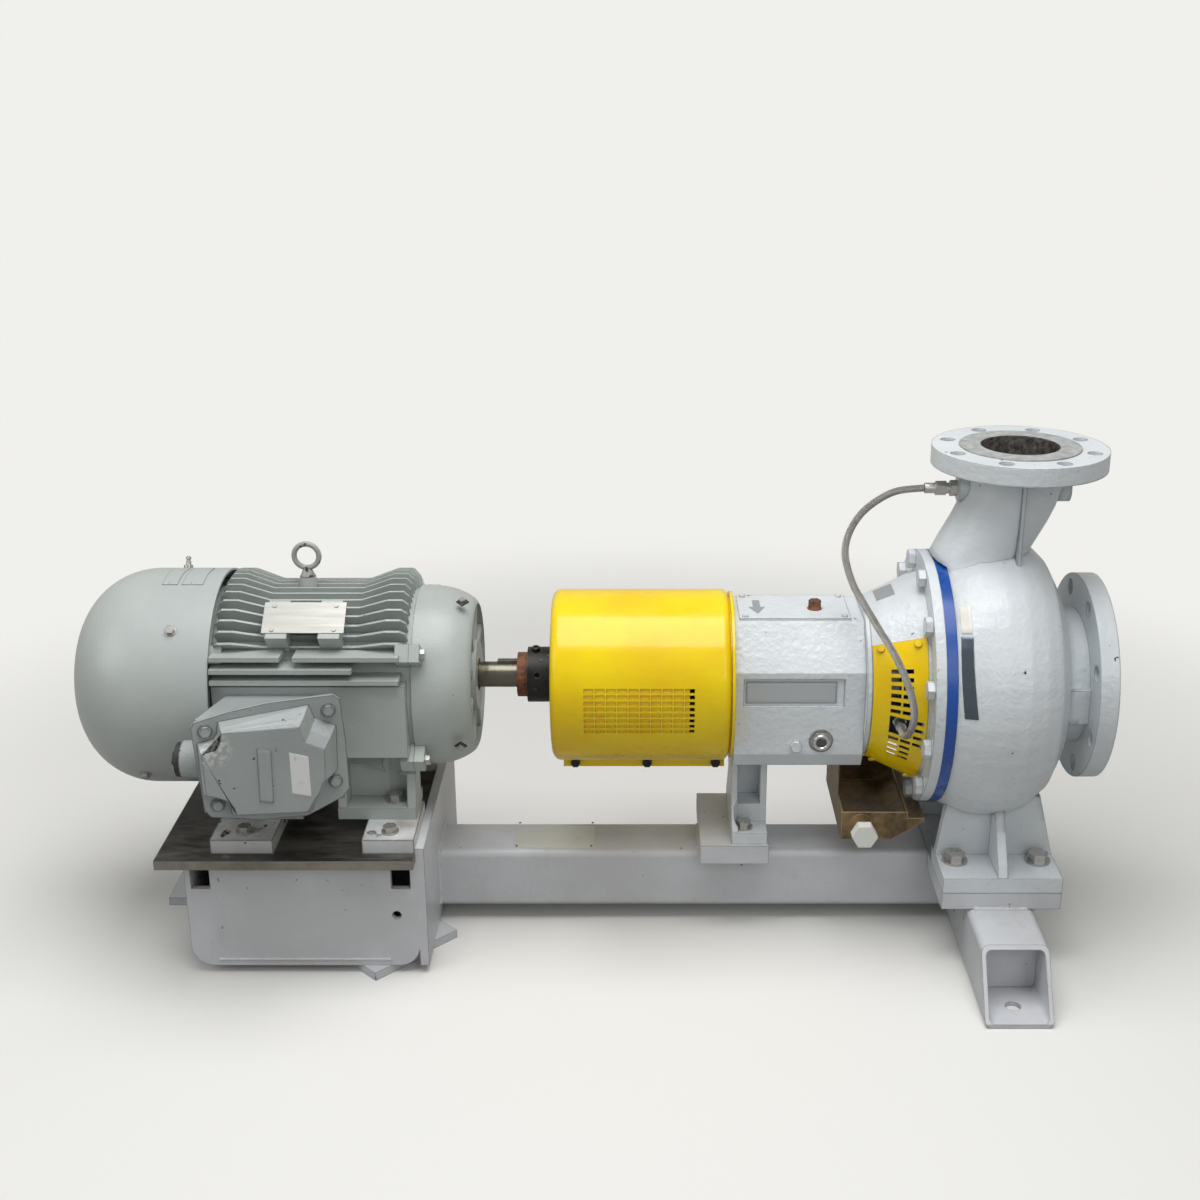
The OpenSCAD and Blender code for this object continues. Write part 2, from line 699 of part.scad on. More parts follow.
// Deep drawn cover with an air grille in its end
module fan_cover() {
    color("darkgray") difference() {
        along_x(x_fan0) rotate_extrude($fn = 120) difference() {
            cover_outline(0);
            cover_outline(fan_cover_t);
        }
        along_x(x_fan0 - cut) {
            cylinder(d = grille_hole_d, h = 10, $fn = 24);
            for (k = [1 : grille_rings], a = spread(6 * k)) rotate(a)
                translate([k * grille_pitch, 0, 0]) cylinder(d = grille_hole_d, h = 24, $fn = 24);
        }
        for (s = cover_screws) round_shaft([s[0]], fan_cover_r - 10, x_frame0 + s[1])
            cylinder(d = cover_screw_d + 2 * seat_gap, h = 20, $fn = 32);
    }
}
module cover_outline(inset) {
    polygon(turned_points(fan_cover_r, fan_cover_l, cover_long_r, cover_short_r, cover_curve_l, inset));
}

// Terminal box: wedge-shaped base on the side panel and a turned cover
x_tbox = x_frame0 + 92;
tbox_z = shaft_z - 34;
tbox_cover_l = 188;
tbox_right_y = side_panel_y + 62;
tbox_cover_t = 6;
tbox_screw_d = 6;
tbox_wall = 18;
tbox_right_x = x_tbox + 92;
// Places children on the cover plane: x along the cover, y up, z outwards
module on_cover_plane(z = 0) {
    translate([tbox_right_x, -tbox_right_y, tbox_z]) rotate([0, 0, terminal_box_turn])
        translate([-tbox_cover_l / 2, 0, 0]) rotate([90, 0, 0]) translate([0, 0, z]) children();
}
// Point of the cover plane at u along the cover from its middle, v above the box's middle
function cover_point(u, v) = [tbox_right_x - (tbox_cover_l / 2 - u) * cos(terminal_box_turn),
    -tbox_right_y - (tbox_cover_l / 2 - u) * sin(terminal_box_turn), tbox_z + v];
// Box body from a rectangle on the side panel to the larger, sloping outline behind the cover
module tbox_body(inset, back, front) {
    at_panel = [for (p = [[-68, -58], [64, -58], [64, 59], [-68, 59]])
        [x_tbox + p[0] - sign(p[0]) * inset, -side_panel_y + back, tbox_z + p[1] - sign(p[1]) * inset]];
    at_cover = [for (p = [[-84, -57], [90, -57], [90, 83], [-86, 70]])
        cover_point(p[0] - sign(p[0]) * inset, p[1] - sign(p[1]) * inset) - [0, front, 0]];
    loft([at_panel, at_cover]);
}
module terminal_box() {
    color("dimgray") difference() {
        union() {
            tbox_body(0, 0, -seat_gap);
            conduit_hub_shape(conduit_r, 0);
        }
        tbox_body(tbox_wall, -8, cut);
        translate([x_tbox, -side_panel_y + cut, tbox_z]) rotate([90, 0, 0]) cylinder(r = 22, h = 2 * tbox_wall);
        conduit_hub_shape(conduit_r - 7, 20);
        on_cover_plane() tbox_screw_holes(18);
    }
}
conduit_r = 24;
conduit_x = x_tbox - 112;
conduit_y = side_panel_y + 64;
module conduit_hub_shape(r, bore) {
    translate([conduit_x - bore, -conduit_y, tbox_z - 2]) rotate([0, 90, 0]) cylinder(r = r, h = 46 + 2 * bore);
}
module conduit_plug() {
    color("darkslategray") translate([conduit_x, -conduit_y, tbox_z - 2]) {
        rotate([0, 90, 0]) cylinder(r = conduit_r - 7 - seat_gap, h = 16);
        rotate([0, -90, 0]) cylinder(r = conduit_r - 2, h = 7);
        rotate([0, -90, 0]) translate([0, 0, 7]) cylinder(r = 11, h = 6, $fn = 4);
    }
}
// Four screws near the corners of the cover
tbox_screws = [[-73, 57], [77, 70], [80, -28], [-66, -44]];
module tbox_screw_holes(depth) {
    for (p = tbox_screws) translate([p[0], p[1], -depth])
        cylinder(d = tbox_screw_d + 2 * seat_gap, h = depth + tbox_cover_t + cut);
}
cover_plate_points = [[-90, 62], [-86, 69], [-44, 79], [3, 86], [84, 89], [92, 82], [96, 29], [97, -41], [88, -52],
    [58, -66], [42, -73], [-14, -72], [-76, -61], [-83, -50], [-86, -8]];
// Raised middle of the cover: its outline at the plate and at its face, notched round the screws
cover_foot_points = [[-84, 42], [-64, 46], [-59, 54], [-57, 68], [54, 80], [60, 62], [86, 49], [84, -12], [72, -16],
    [67, -29], [57, -37], [49, -66], [-50, -60], [-51, -46], [-57, -34], [-69, -28], [-83, -22]];
cover_face_points = [[-79, 38], [-62, 42], [-56, 50], [-53, 64], [40, 62], [45, 41], [68, 29], [67, -12], [62, -19],
    [58, -30], [52, -38], [42, -54], [-44, -48], [-46, -38], [-52, -28], [-64, -22], [-78, -17]];
// Heights above the box, and how far the outline has gone from the foot's to the face's
cover_rings = [[3, 0], [8, 0.08], [24, 0.5], [30, 0.78], [34, 1]];
module terminal_cover() {
    color("gray") difference() {
        union() {
            on_cover_plane() linear_extrude(tbox_cover_t) polygon(cover_plate_points);
            on_cover_plane()
                loft([for (ring = cover_rings) [for (i = [len(cover_foot_points) - 1 : -1 : 0])
                    concat(cover_foot_points[i] * (1 - ring[1]) + cover_face_points[i] * ring[1], ring[0])]]);
        }
        on_cover_plane() tbox_screw_holes(cut);
    }
}
module terminal_screws() {
    color("gray") on_cover_plane(tbox_cover_t) for (p = tbox_screws)
        translate([p[0], p[1], 0]) hex_bolt(13, 5, tbox_screw_d, 18, 1.5);
}

x_eye = x_frame0 + 112;
eye_boss_top = 143;
eye_shank_d = 10;
eye_ring_r = 16.5;
eye_wire_r = 3.6;
eye_ring_h = 171;
module eyebolt_boss() {
    at_shaft(x_eye) translate([0, 0, frame_r - 6]) cylinder(r1 = 14, r2 = 10.5, h = eye_boss_top - frame_r + 6);
}
module eyebolt() {
    color("slategray") at_shaft(x_eye) {
        translate([0, 0, eye_ring_h]) rotate([90, 0, 0]) rotate_extrude() translate([eye_ring_r, 0]) circle(eye_wire_r, $fn = 24);
        translate([0, 0, eye_boss_top]) cylinder(r1 = 10, r2 = 5, h = eye_ring_h - eye_ring_r - eye_boss_top);
        translate([0, 0, eye_boss_top - 20]) cylinder(d = eye_shank_d, h = 21);
    }
}

// Blank plate on two cast pads, square to a radius
nameplate_angle = 39;
nameplate_r = 152;
nameplate_l = 106;
nameplate_w = 46;
nameplate_screw_d = 3;
x_nameplate = x_frame0 + 124;
module on_nameplate() {
    round_shaft([nameplate_angle], nameplate_r, x_nameplate) children();
}
module nameplate_pads() {
    on_nameplate() for (x = [-48, 20]) translate([x, -nameplate_w / 2 - 8, -34]) cube([28, nameplate_w + 12, 34]);
}
module nameplate_screws(d) {
    on_nameplate() for (sx = [-1, 1], sy = [-1, 1])
        translate([sx * (nameplate_l / 2 - 13), sy * (nameplate_w / 2 - 5), -8]) cylinder(d = d, h = 9, $fn = 24);
}
module nameplate() {
    color("gainsboro") {
        on_nameplate() translate([-nameplate_l / 2, -nameplate_w / 2, 0]) cube([nameplate_l, nameplate_w, 1]);
        nameplate_screws(nameplate_screw_d);
        on_nameplate() for (sx = [-1, 1], sy = [-1, 1])
            translate([sx * (nameplate_l / 2 - 13), sy * (nameplate_w / 2 - 5), 1]) cylinder(d = 6, h = 1.2, $fn = 24);
    }
}

stator_l = 150;
x_stator = x_frame0 + (frame_l - stator_l) / 2;
air_gap = 0.6;
rotor_r = 64;
slots = 24;
module stator_core() {
    color("dimgray") along_x(x_stator) difference() {
        cylinder(r = frame_bore_r - seat_gap, h = stator_l, $fn = 120);
        translate([0, 0, -cut]) cylinder(r = rotor_r + air_gap, h = stator_l + 2 * cut, $fn = 120);
        for (a = spread(slots)) rotate(a) translate([rotor_r, -3.5, -cut]) cube([22, 7, stator_l + 2 * cut]);
    }
}
winding_l = 30;
module stator_windings() {
    color("sienna") for (x = [x_stator - winding_l, x_stator + stator_l]) along_x(x)
        rotate_extrude() translate([83, winding_l / 2]) rounded_rect(26, winding_l, 8);
}

module motor_bearings() {
    color("silver") for (x = motor_bearing_x) along_x(x)
        outer_race(motor_journal_r + seat_gap, motor_bearing_r, motor_bearing_w);
}
module motor_bearing_inners() {
    color("silver") for (x = motor_bearing_x) along_x(x)
        inner_race(motor_journal_r + seat_gap, motor_bearing_r, motor_bearing_w);
}

core_shaft_r = 26;
key_w = 9;
key_h = 8;
fan_x = x_frame0 - 88;
module motor_shaft() {
    journal0 = motor_bearing_x[0] - motor_bearing_w / 2;
    journal1 = motor_bearing_x[1] + motor_bearing_w / 2;
    color("darkgoldenrod") difference() {
        union() {
            along_x(journal0) cylinder(r = motor_journal_r, h = x_bell1 - 2 - journal0);
            along_x(x_stator - 20) cylinder(r = core_shaft_r, h = stator_l + 40);
            along_x(fan_x - 6) cylinder(r = motor_shaft_r, h = journal0 - fan_x + 7);
            along_x(journal1) cylinder(r = motor_shaft_r, h = x_motor_end - journal1);
        }
        key_slot(0);
    }
}
module key_slot(clear) {
    key_x = x_bell1 + 26;
    at_shaft(key_x) translate([0, -key_w / 2 + clear, motor_shaft_r - key_h / 2])
        cube([x_motor_end - key_x - 8, key_w - 2 * clear, key_h]);
}
module shaft_key() {
    color("olive") key_slot(seat_gap);
}
module rotor_core() {
    color("gray") along_x(x_stator) difference() {
        union() {
            cylinder(r = rotor_r, h = stator_l, $fn = 120);
            for (z = [-10, stator_l]) translate([0, 0, z]) cylinder(r = rotor_r - 8, h = 10, $fn = 120);
        }
        translate([0, 0, -20]) cylinder(r = core_shaft_r + seat_gap, h = stator_l + 40);
    }
}
fan_blades = 8;
module cooling_fan() {
    fan_r = fan_cover_r - 32;
    color("black") along_x(fan_x) difference() {
        union() {
            cylinder(r = 28, h = 36);
            translate([0, 0, 30]) cylinder(r = fan_r, h = 4, $fn = 120);
            for (a = spread(fan_blades)) rotate(a) translate([24, -2, 2]) cube([fan_r - 26, 4, 30]);
        }
        translate([0, 0, -cut]) cylinder(r = motor_shaft_r + seat_gap, h = 40);
    }
}

// Coupling

module hub_bush() {
    color("sienna") difference() {
        along_x(x_bush) cylinder(r = bush_r, h = bush_l);
        along_x(x_bush - cut) cylinder(r = motor_shaft_r + seat_gap, h = bush_l + 2 * cut);
        key_slot(-free_gap);
    }
}
module screw_circle(n, r, d, z, h, first = 0) {
    for (a = spread(n, first)) rotate(a) translate([r, 0, z]) cylinder(d = d, h = h, $fn = 32);
}
coupling_screw_d = 8;
module motor_hub() {
    x0 = x_bush + bush_l;
    color("black") difference() {
        along_x(x0) {
            cylinder(r = hub_r, h = x_motor_end - x0, $fn = 96);
            translate([0, 0, x_motor_end - x0 - coupling_flange_t])
                cylinder(r = coupling_flange_r, h = coupling_flange_t, $fn = 96);
        }
        along_x(x0 - cut) {
            cylinder(r = motor_shaft_r + seat_gap, h = 80);
            screw_circle(3, coupling_screw_r, coupling_screw_d + 2 * seat_gap, x_motor_end - x0 - coupling_flange_t - cut, 20);
        }
        key_slot(-free_gap);
        round_shaft([70], hub_r - 12, x0 + 14) cylinder(d = 8, h = 20, $fn = 32);
    }
}
x_spacer0 = x_motor_end + disc_pack_t;
x_spacer1 = x_pump_end - disc_pack_t - free_gap;
module coupling_spacer() {
    l = x_spacer1 - x_spacer0;
    color("dimgray") along_x(x_spacer0) difference() {
        union() {
            cylinder(r = hub_r - 4, h = l, $fn = 96);
            for (z = [0, l - coupling_flange_t]) translate([0, 0, z])
                cylinder(r = coupling_flange_r, h = coupling_flange_t, $fn = 96);
        }
        translate([0, 0, -cut]) cylinder(r = hub_r - 12, h = l + 2 * cut);
        screw_circle(3, coupling_screw_r, coupling_screw_d + 2 * seat_gap, -cut, coupling_flange_t + 2 * cut, 60);
        screw_circle(3, coupling_screw_r, 14, l - coupling_flange_t - cut, coupling_flange_t + 2 * cut, 0);
        screw_circle(3, coupling_screw_r, coupling_screw_d + 6, l - coupling_flange_t - cut, coupling_flange_t + 2 * cut, 60);
    }
}
// Ring of thin plates with its screws, half of them into each flange
module disc_pack_ring() {
    difference() {
        cylinder(r = coupling_flange_r, h = disc_pack_t, $fn = 96);
        translate([0, 0, -cut]) cylinder(r = coupling_flange_r - 18, h = disc_pack_t + 2 * cut);
        screw_circle(coupling_screws, coupling_screw_r, coupling_screw_d + 2 * seat_gap, -cut, disc_pack_t + 2 * cut);
    }
}
module motor_disc_pack() {
    reach = coupling_flange_t + disc_pack_t;
    color("silver") along_x(x_motor_end) {
        disc_pack_ring();
        screw_circle(3, coupling_screw_r, coupling_screw_d, -coupling_flange_t, reach);
        screw_circle(3, coupling_screw_r, coupling_screw_d, 0, reach, 60);
    }
}
module pump_disc_pack() {
    color("silver") along_x(x_pump_end - disc_pack_t) {
        disc_pack_ring();
        screw_circle(3, coupling_screw_r, coupling_screw_d, 0, coupling_flange_t + disc_pack_t);
        screw_circle(3, coupling_screw_r, coupling_screw_d, -free_gap, disc_pack_t, 60);
    }
}
pump_hub_l = 56;
module pump_hub() {
    color("black") difference() {
        along_x(x_pump_end) {
            cylinder(r = hub_r, h = pump_hub_l, $fn = 96);
            cylinder(r = coupling_flange_r, h = coupling_flange_t, $fn = 96);
        }
        along_x(x_pump_end - cut) {
            cylinder(r = pump_end_r + seat_gap, h = pump_hub_l + 2 * cut);
            screw_circle(3, coupling_screw_r, coupling_screw_d + 2 * seat_gap, 0, coupling_flange_t + 2 * cut);
        }
    }
}

guard_plate_t = 4;
guard_hub_clear = 26;
slot_size = [12.2, 5.3];
slot_pitch = [14.7, 8.5];
guard_motor_round = 12;
guard_pump_round = 10;
sleeve_t = 1.5;
guard_screw_x = [0.12, 0.54, 0.94];
guard_seam_t = 5;
guard_seam_drop = 20;
// Sheet drum with rounded ends, an end wall at the motor and a slotted grille on each side; an inner
// sleeve slid in from the motor end backs all but the last half column of the slots
module coupling_guard() {
    rows = guard_slot_rows;
    row_angle = slot_pitch[1] / guard_r * 180 / PI;
    x_grille = x_guard0 + guard_l * 0.494 - (guard_slot_cols - 1) * slot_pitch[0] / 2;
    sleeve_l = x_grille - x_guard0 + (guard_slot_cols - 1) * slot_pitch[0];
    color("gold") difference() {
        union() {
            along_x(x_guard0) rotate_extrude($fn = 120) {
                difference() {
                    drum_outline(0);
                    drum_outline(guard_t);
                }
                translate([guard_r - guard_t - sleeve_t, guard_motor_round]) square([sleeve_t + 0.5, sleeve_l - guard_motor_round]);
            }
            for (side = [-1, 1]) at_shaft(x_guard0 + guard_motor_round)
                translate([0, side > 0 ? 0.15 : -0.15 - guard_seam_t, -guard_r - guard_seam_drop])
                    cube([guard_l - guard_motor_round - 2, guard_seam_t, guard_seam_drop + 1]);
        }
        for (i = [0 : guard_slot_cols - 1], k = [0 : rows - 1], side = [-1, 1])
            round_shaft([side * (93 + (k - (rows - 1) / 2) * row_angle)], guard_r - guard_t - 0.2,
                x_grille + i * slot_pitch[0])
                translate([-slot_size[0] / 2, -slot_size[1] / 2, 0]) cube([slot_size[0], slot_size[1], guard_t + 2]);
        guard_seam_holes();
    }
}
// Half outline of the drum, or of the room inside it: open to the hub at the motor end, and to the
// disc of the housing at the other
module drum_outline(inset) {
    hub_clear_r = hub_r + guard_hub_clear;
    mouth_r = guard_r - guard_pump_round;
    for (end = [[guard_motor_round, 0], [guard_pump_round, guard_l]]) intersection() {
        translate([guard_r - end[0], abs(end[1] - end[0])]) circle(end[0] - inset, $fn = 96);
        translate([guard_r - end[0], end[1] > 0 ? guard_l - end[0] : 0]) square([end[0], end[0]]);
    }
    translate([0, guard_motor_round]) square([guard_r - inset, guard_l - guard_motor_round - guard_pump_round]);
    translate([inset > 0 ? 0 : hub_clear_r, inset]) square([guard_r - guard_motor_round - (inset > 0 ? 0 : hub_clear_r), guard_motor_round - inset]);
    if (inset > 0) square([hub_clear_r, guard_l]);
    translate([0, guard_l - guard_pump_round]) square([mouth_r, guard_pump_round]);
}
module guard_seam_holes() {
    for (f = guard_screw_x) at_shaft(x_guard0 + guard_l * f) translate([0, -guard_seam_t * 2, -guard_r - guard_seam_drop + 7])
        rotate([-90, 0, 0]) cylinder(d = 6 + 2 * seat_gap, h = guard_seam_t * 4, $fn = 32);
}
// Disc on the end of the bearing housing that the guard drum slides over
module guard_plate() {
    color("goldenrod") difference() {
        union() {
            along_x(x_housing0 - guard_plate_t) cylinder(r = guard_r - 12, h = guard_plate_t, $fn = 120);
            along_x(x_guard1 - 16) difference() {
                cylinder(r = guard_r - guard_pump_round - seat_gap, h = x_housing0 - x_guard1 + 16, $fn = 120);
                translate([0, 0, -cut]) cylinder(r = guard_r - guard_pump_round - 3, h = 60, $fn = 120);
            }
            along_x(x_housing0 - guard_plate_t) difference() {
                cylinder(r = guard_r - guard_t - 1, h = guard_plate_t, $fn = 120);
                translate([0, 0, -cut]) cylinder(r = guard_r - 14, h = guard_plate_t + 2 * cut);
            }
        }
        along_x(x_housing0 - 20) cylinder(r = bearing_cap_r + 0.5, h = 40);
        plate_screw_holes(guard_plate_t + 2 * cut);
    }
}
plate_screw_r = 80;
module plate_screw_holes(depth) {
    round_shaft(spread(4, 45), plate_screw_r, x_housing0 - guard_plate_t - cut) rotate([0, 90, 0])
        cylinder(d = 8 + 2 * seat_gap, h = depth, $fn = 32);
}
module guard_screws() {
    color("darkslategray") {
        for (f = guard_screw_x) at_shaft(x_guard0 + guard_l * f) translate([0, -guard_seam_t - 0.15, -guard_r - guard_seam_drop + 7])
            rotate([90, 0, 0]) hex_bolt(12, 6, 6, 2 * guard_seam_t + 6);
        round_shaft(spread(4, 45), plate_screw_r, x_housing0 - guard_plate_t) rotate([0, -90, 0])
            hex_bolt(13, 5, 8, guard_plate_t + 12);
    }
}

// Bearing housing

bearing_cap_r = pump_bearing_r + 9;
bearing_cap_l = 10;
housing_shoulder_y = 48;
housing_shoulder_h = 46;
housing_chamfer = [12, 21];
module housing_section() {
    w = housing_half_w;
    top = housing_top_h;
    bottom = -housing_bottom_h;
    polygon([[housing_shoulder_y, top], [-housing_shoulder_y, top], [-w + 12, housing_shoulder_h + 10],
        [-w, housing_shoulder_h - 8], [-w, bottom + housing_chamfer[1]], [-w + housing_chamfer[0], bottom],
        [w - housing_chamfer[0], bottom], [w, bottom + housing_chamfer[1]], [w, housing_shoulder_h - 8],
        [w - 12, housing_shoulder_h + 10]]);
}
pocket_l = 133;
pocket_h = 39;
pocket_depth = 4;
pocket_z = 10;
sight_x = x_housing0 + 116;
sight_z = -59;
sight_r = 12;
filler_x = x_housing0 + 110;
filler_y = -8;
filler_d = 14;
top_screw_d = 4;
top_cover_l = 148;
x_top_cover = x_housing0 + 7;
module bearing_housing() {
    color("gainsboro") difference() {
        union() {
            at_shaft(x_housing0) rotate([90, 0, 90]) linear_extrude(housing_l) housing_section();
            along_x(x_housing0 - bearing_cap_l) cylinder(r = bearing_cap_r, h = bearing_cap_l + cut, $fn = 96);
            at_shaft(x_housing0 + 83) translate([0, -housing_half_w - 7, sight_z - 7]) rotate([-90, 0, 0])
                cylinder(r = 8, h = 12, $fn = 6);
        }
        both_sides() at_shaft(x_housing0 + 12) translate([0, -housing_half_w - cut, pocket_z - pocket_h / 2])
            cube([pocket_l, pocket_depth + cut, pocket_h]);
        along_x(x_housing0 - bearing_cap_l - cut) cylinder(r = pump_shaft_r + run_gap, h = housing_l + 2 * bearing_cap_l);
        along_x(pump_bearing_x[0] - pump_bearing_w / 2)
            cylinder(r = pump_bearing_r + seat_gap, h = pump_bearing_x[1] - pump_bearing_x[0] + pump_bearing_w, $fn = 96);
        at_shaft(sight_x) translate([0, -housing_half_w - cut, sight_z]) rotate([-90, 0, 0]) {
            cylinder(r = sight_r + 4, h = 4 + cut);
            cylinder(r = sight_r - 3 + seat_gap, h = 22);
        }
        at_shaft(filler_x) translate([0, filler_y, housing_top_h - 18]) cylinder(d = filler_d + 2 * seat_gap, h = 20);
        top_cover_screw_holes(top_screw_d + 2 * seat_gap, 10);
        plate_screw_holes_in_housing();
    }
}
module plate_screw_holes_in_housing() {
    round_shaft(spread(4, 45), plate_screw_r, x_housing0 - cut) rotate([0, 90, 0])
        cylinder(d = 8 + 2 * seat_gap, h = 14, $fn = 32);
}
module top_cover_screw_holes(d, depth) {
    for (x = [8, top_cover_l - 8], s = [-1, 1]) at_shaft(x_top_cover + x)
        translate([0, s * (housing_shoulder_y - 9), housing_top_h - depth]) cylinder(d = d, h = depth + top_cover_t + cut, $fn = 24);
}
module top_cover() {
    color("gainsboro") {
        difference() {
            at_shaft(x_top_cover) translate([0, -housing_shoulder_y + 2, housing_top_h])
                cube([top_cover_l, 2 * housing_shoulder_y - 4, top_cover_t]);
            at_shaft(filler_x) translate([0, filler_y, housing_top_h - cut]) cylinder(d = filler_d + 2 * free_gap, h = 20);
        }
        top_cover_screw_holes(top_screw_d, 8);
        for (x = [8, top_cover_l - 8], s = [-1, 1]) at_shaft(x_top_cover + x)
            translate([0, s * (housing_shoulder_y - 9), housing_top_h + top_cover_t]) cylinder(d = 8, h = 2.4, $fn = 24);
    }
}
module filler_plug() {
    color("saddlebrown") at_shaft(filler_x) translate([0, filler_y, housing_top_h]) {
        translate([0, 0, -14]) cylinder(d = filler_d, h = 15 + top_cover_t);
        translate([0, 0, top_cover_t]) cylinder(r1 = 10, r2 = 8, h = 4);
        translate([0, 0, top_cover_t + 3]) cylinder(r = 8.5, h = 9, $fn = 6);
    }
}
module sight_glass() {
    color("silver") at_shaft(sight_x) translate([0, -housing_half_w + 4, sight_z]) rotate([90, 0, 0]) {
        difference() {
            union() {
                cylinder(r = sight_r + 2, h = 7, $fn = 6);
                cylinder(r = sight_r - 1, h = 10);
                translate([0, 0, -14]) cylinder(r = sight_r - 3, h = 15);
            }
            translate([0, 0, 5]) cylinder(r = sight_r - 5, h = 10);
        }
        translate([0, 0, 5]) cylinder(r = sight_r - 5 - seat_gap, h = 2);
    }
}

support_half_w = 38;
support_wall = 9;
module support_foot() {
    h = shaft_z - housing_bottom_h - pad_top_z;
    color("whitesmoke") difference() {
        union() {
            translate([x_support, -support_half_w, pad_top_z]) cube([support_foot_l, 2 * support_half_w, h]);
            translate([x_support, -support_bolt_y - 20, pad_top_z])
                cube([support_foot_l, 2 * support_bolt_y + 40, support_flange_t]);
            translate([x_support, 0, pad_top_z]) rotate([90, 0, 90]) linear_extrude(support_wall)
                polygon([[-support_bolt_y - 16, support_flange_t - 1], [-support_half_w + 1, 64],
                    [support_half_w - 1, 64], [support_bolt_y + 16, support_flange_t - 1]]);
        }
        both_sides() translate([x_support + support_wall, -support_half_w - cut, pad_top_z + 44])
            cube([support_foot_l - 2 * support_wall, support_half_w - 4, h - 56]);
        support_holes(support_bolt_d + 2 * seat_gap, cut);
        for (s = [-1, 1]) translate([support_bolt_x, s * support_bolt_y, pad_top_z + support_flange_t])
            cylinder(r = 13.5, h = 70);
    }
}

// Adapter and seal

adapter_ring_t = 6;
x_cone0 = x_housing1 + adapter_ring_t;
window_x = [x_housing1 + 14, x_flange - 8];
window_angles = [[58, 140], [-140, -58], [156, 204]];
// Wedge round the shaft between two angles, for cutting and keeping
module wedge(angles, x, r) {
    steps = 4;
    at_shaft(x[0]) rotate([90, 0, 90]) linear_extrude(x[1] - x[0])
        polygon(concat([[0, 0]], [for (i = [0 : steps]) let(a = angles[0] + (angles[1] - angles[0]) * i / steps)
            [-r * sin(a), r * cos(a)]]));
}
function cone_r(x) = adapter_small_r + (adapter_large_r - adapter_small_r) * (x - x_housing1) / (x_flange - x_housing1);
module cone_shell(x0, x1, lift, t) {
    along_x(x0) rotate_extrude($fn = 120)
        polygon([[cone_r(x0) + lift, 0], [cone_r(x0) + lift + t, 0], [cone_r(x1) + lift + t, x1 - x0], [cone_r(x1) + lift, x1 - x0]]);
}
module adapter() {
    color("gainsboro") difference() {
        union() {
            cone_shell(x_housing1, x_flange + cut, -adapter_wall, adapter_wall);
            along_x(x_housing1) difference() {
                cylinder(r = adapter_small_r + 4, h = adapter_ring_t, $fn = 120);
                translate([0, 0, -cut]) cylinder(r = pump_bearing_r + 6, h = adapter_ring_t + 2 * cut);
            }
            along_x(x_flange) difference() {
                cylinder(r = casing_rim_r, h = adapter_flange_t, $fn = 120);
                translate([0, 0, -cut]) cylinder(r = cone_r(x_flange) - adapter_wall, h = adapter_flange_t + 2 * cut, $fn = 120);
            }
        }
        for (a = window_angles) wedge(a, window_x, casing_rim_r + 60);
        seal_guard_holes(seal_screw_d + 2 * seat_gap);
        casing_bolt_holes(x_flange - cut, adapter_flange_t + 2 * cut, casing_bolt_d + 2 * seat_gap);
    }
}
casing_bolt_d = 14;
casing_bolt_grip = 12.5;
module casing_bolt_holes(x, depth, d) {
    round_shaft(spread(casing_bolts, 180 / casing_bolts), casing_bolt_r, x) rotate([0, 90, 0])
        cylinder(d = d, h = depth, $fn = 32);
}
guard_sheet_t = 1.5;
seal_guard_angles = [48, 150];
seal_guard_x = [x_housing1 + 7, x_flange - 4];
seal_screw_d = 5;
seal_screws = [[51, 0.14], [51, 0.82], [145, 0.14], [145, 0.82]];
seal_port_angle = 100;
seal_rows = 13;
seal_row_pitch = 4.9;
module seal_guard_holes(d) {
    for (s = seal_screws, side = [-1, 1]) {
        x = seal_guard_x[0] + s[1] * (seal_guard_x[1] - seal_guard_x[0]);
        round_shaft([side * s[0]], cone_r(x) - adapter_wall - 4, x) cylinder(d = d, h = adapter_wall + 14, $fn = 24);
    }
}
// Perforated sheets over the side windows, rolled to the cone of the adapter
module seal_guard() {
    col_x = [for (k = [0, 1, 2]) seal_guard_x[0] + 28 + k * slot_pitch[0]];
    color("gold") {
        both_sides() difference() {
            intersection() {
                cone_shell(seal_guard_x[0], seal_guard_x[1], seat_gap, guard_sheet_t);
                wedge(seal_guard_angles, seal_guard_x, casing_rim_r + 60);
            }
            seal_guard_holes(seal_screw_d + 2 * seat_gap);
            for (k = [0 : seal_rows - 1], c = [0, 1]) seal_slot(col_x[c], 66 + k * seal_row_pitch);
            for (k = [6 : 9]) seal_slot(col_x[2], 66 + k * seal_row_pitch);
            round_shaft([seal_port_angle], cone_r(gland_x) - 20, gland_port_x) translate([-14, -13, 0]) cube([28, 26, 60]);
        }
        for (s = seal_screws, side = [-1, 1]) {
            x = seal_guard_x[0] + s[1] * (seal_guard_x[1] - seal_guard_x[0]);
            round_shaft([side * s[0]], cone_r(x) - adapter_wall, x) {
                cylinder(d = seal_screw_d, h = adapter_wall + 3, $fn = 24);
                translate([0, 0, adapter_wall + guard_sheet_t + 1]) cylinder(d = 10, h = 3, $fn = 24);
            }
        }
    }
}
module seal_slot(x, a) {
    round_shaft([a], cone_r(x) - 8, x) translate([-slot_size[0] / 2, -slot_size[1] / 2, 0]) cube([slot_size[0], slot_size[1], 20]);
}

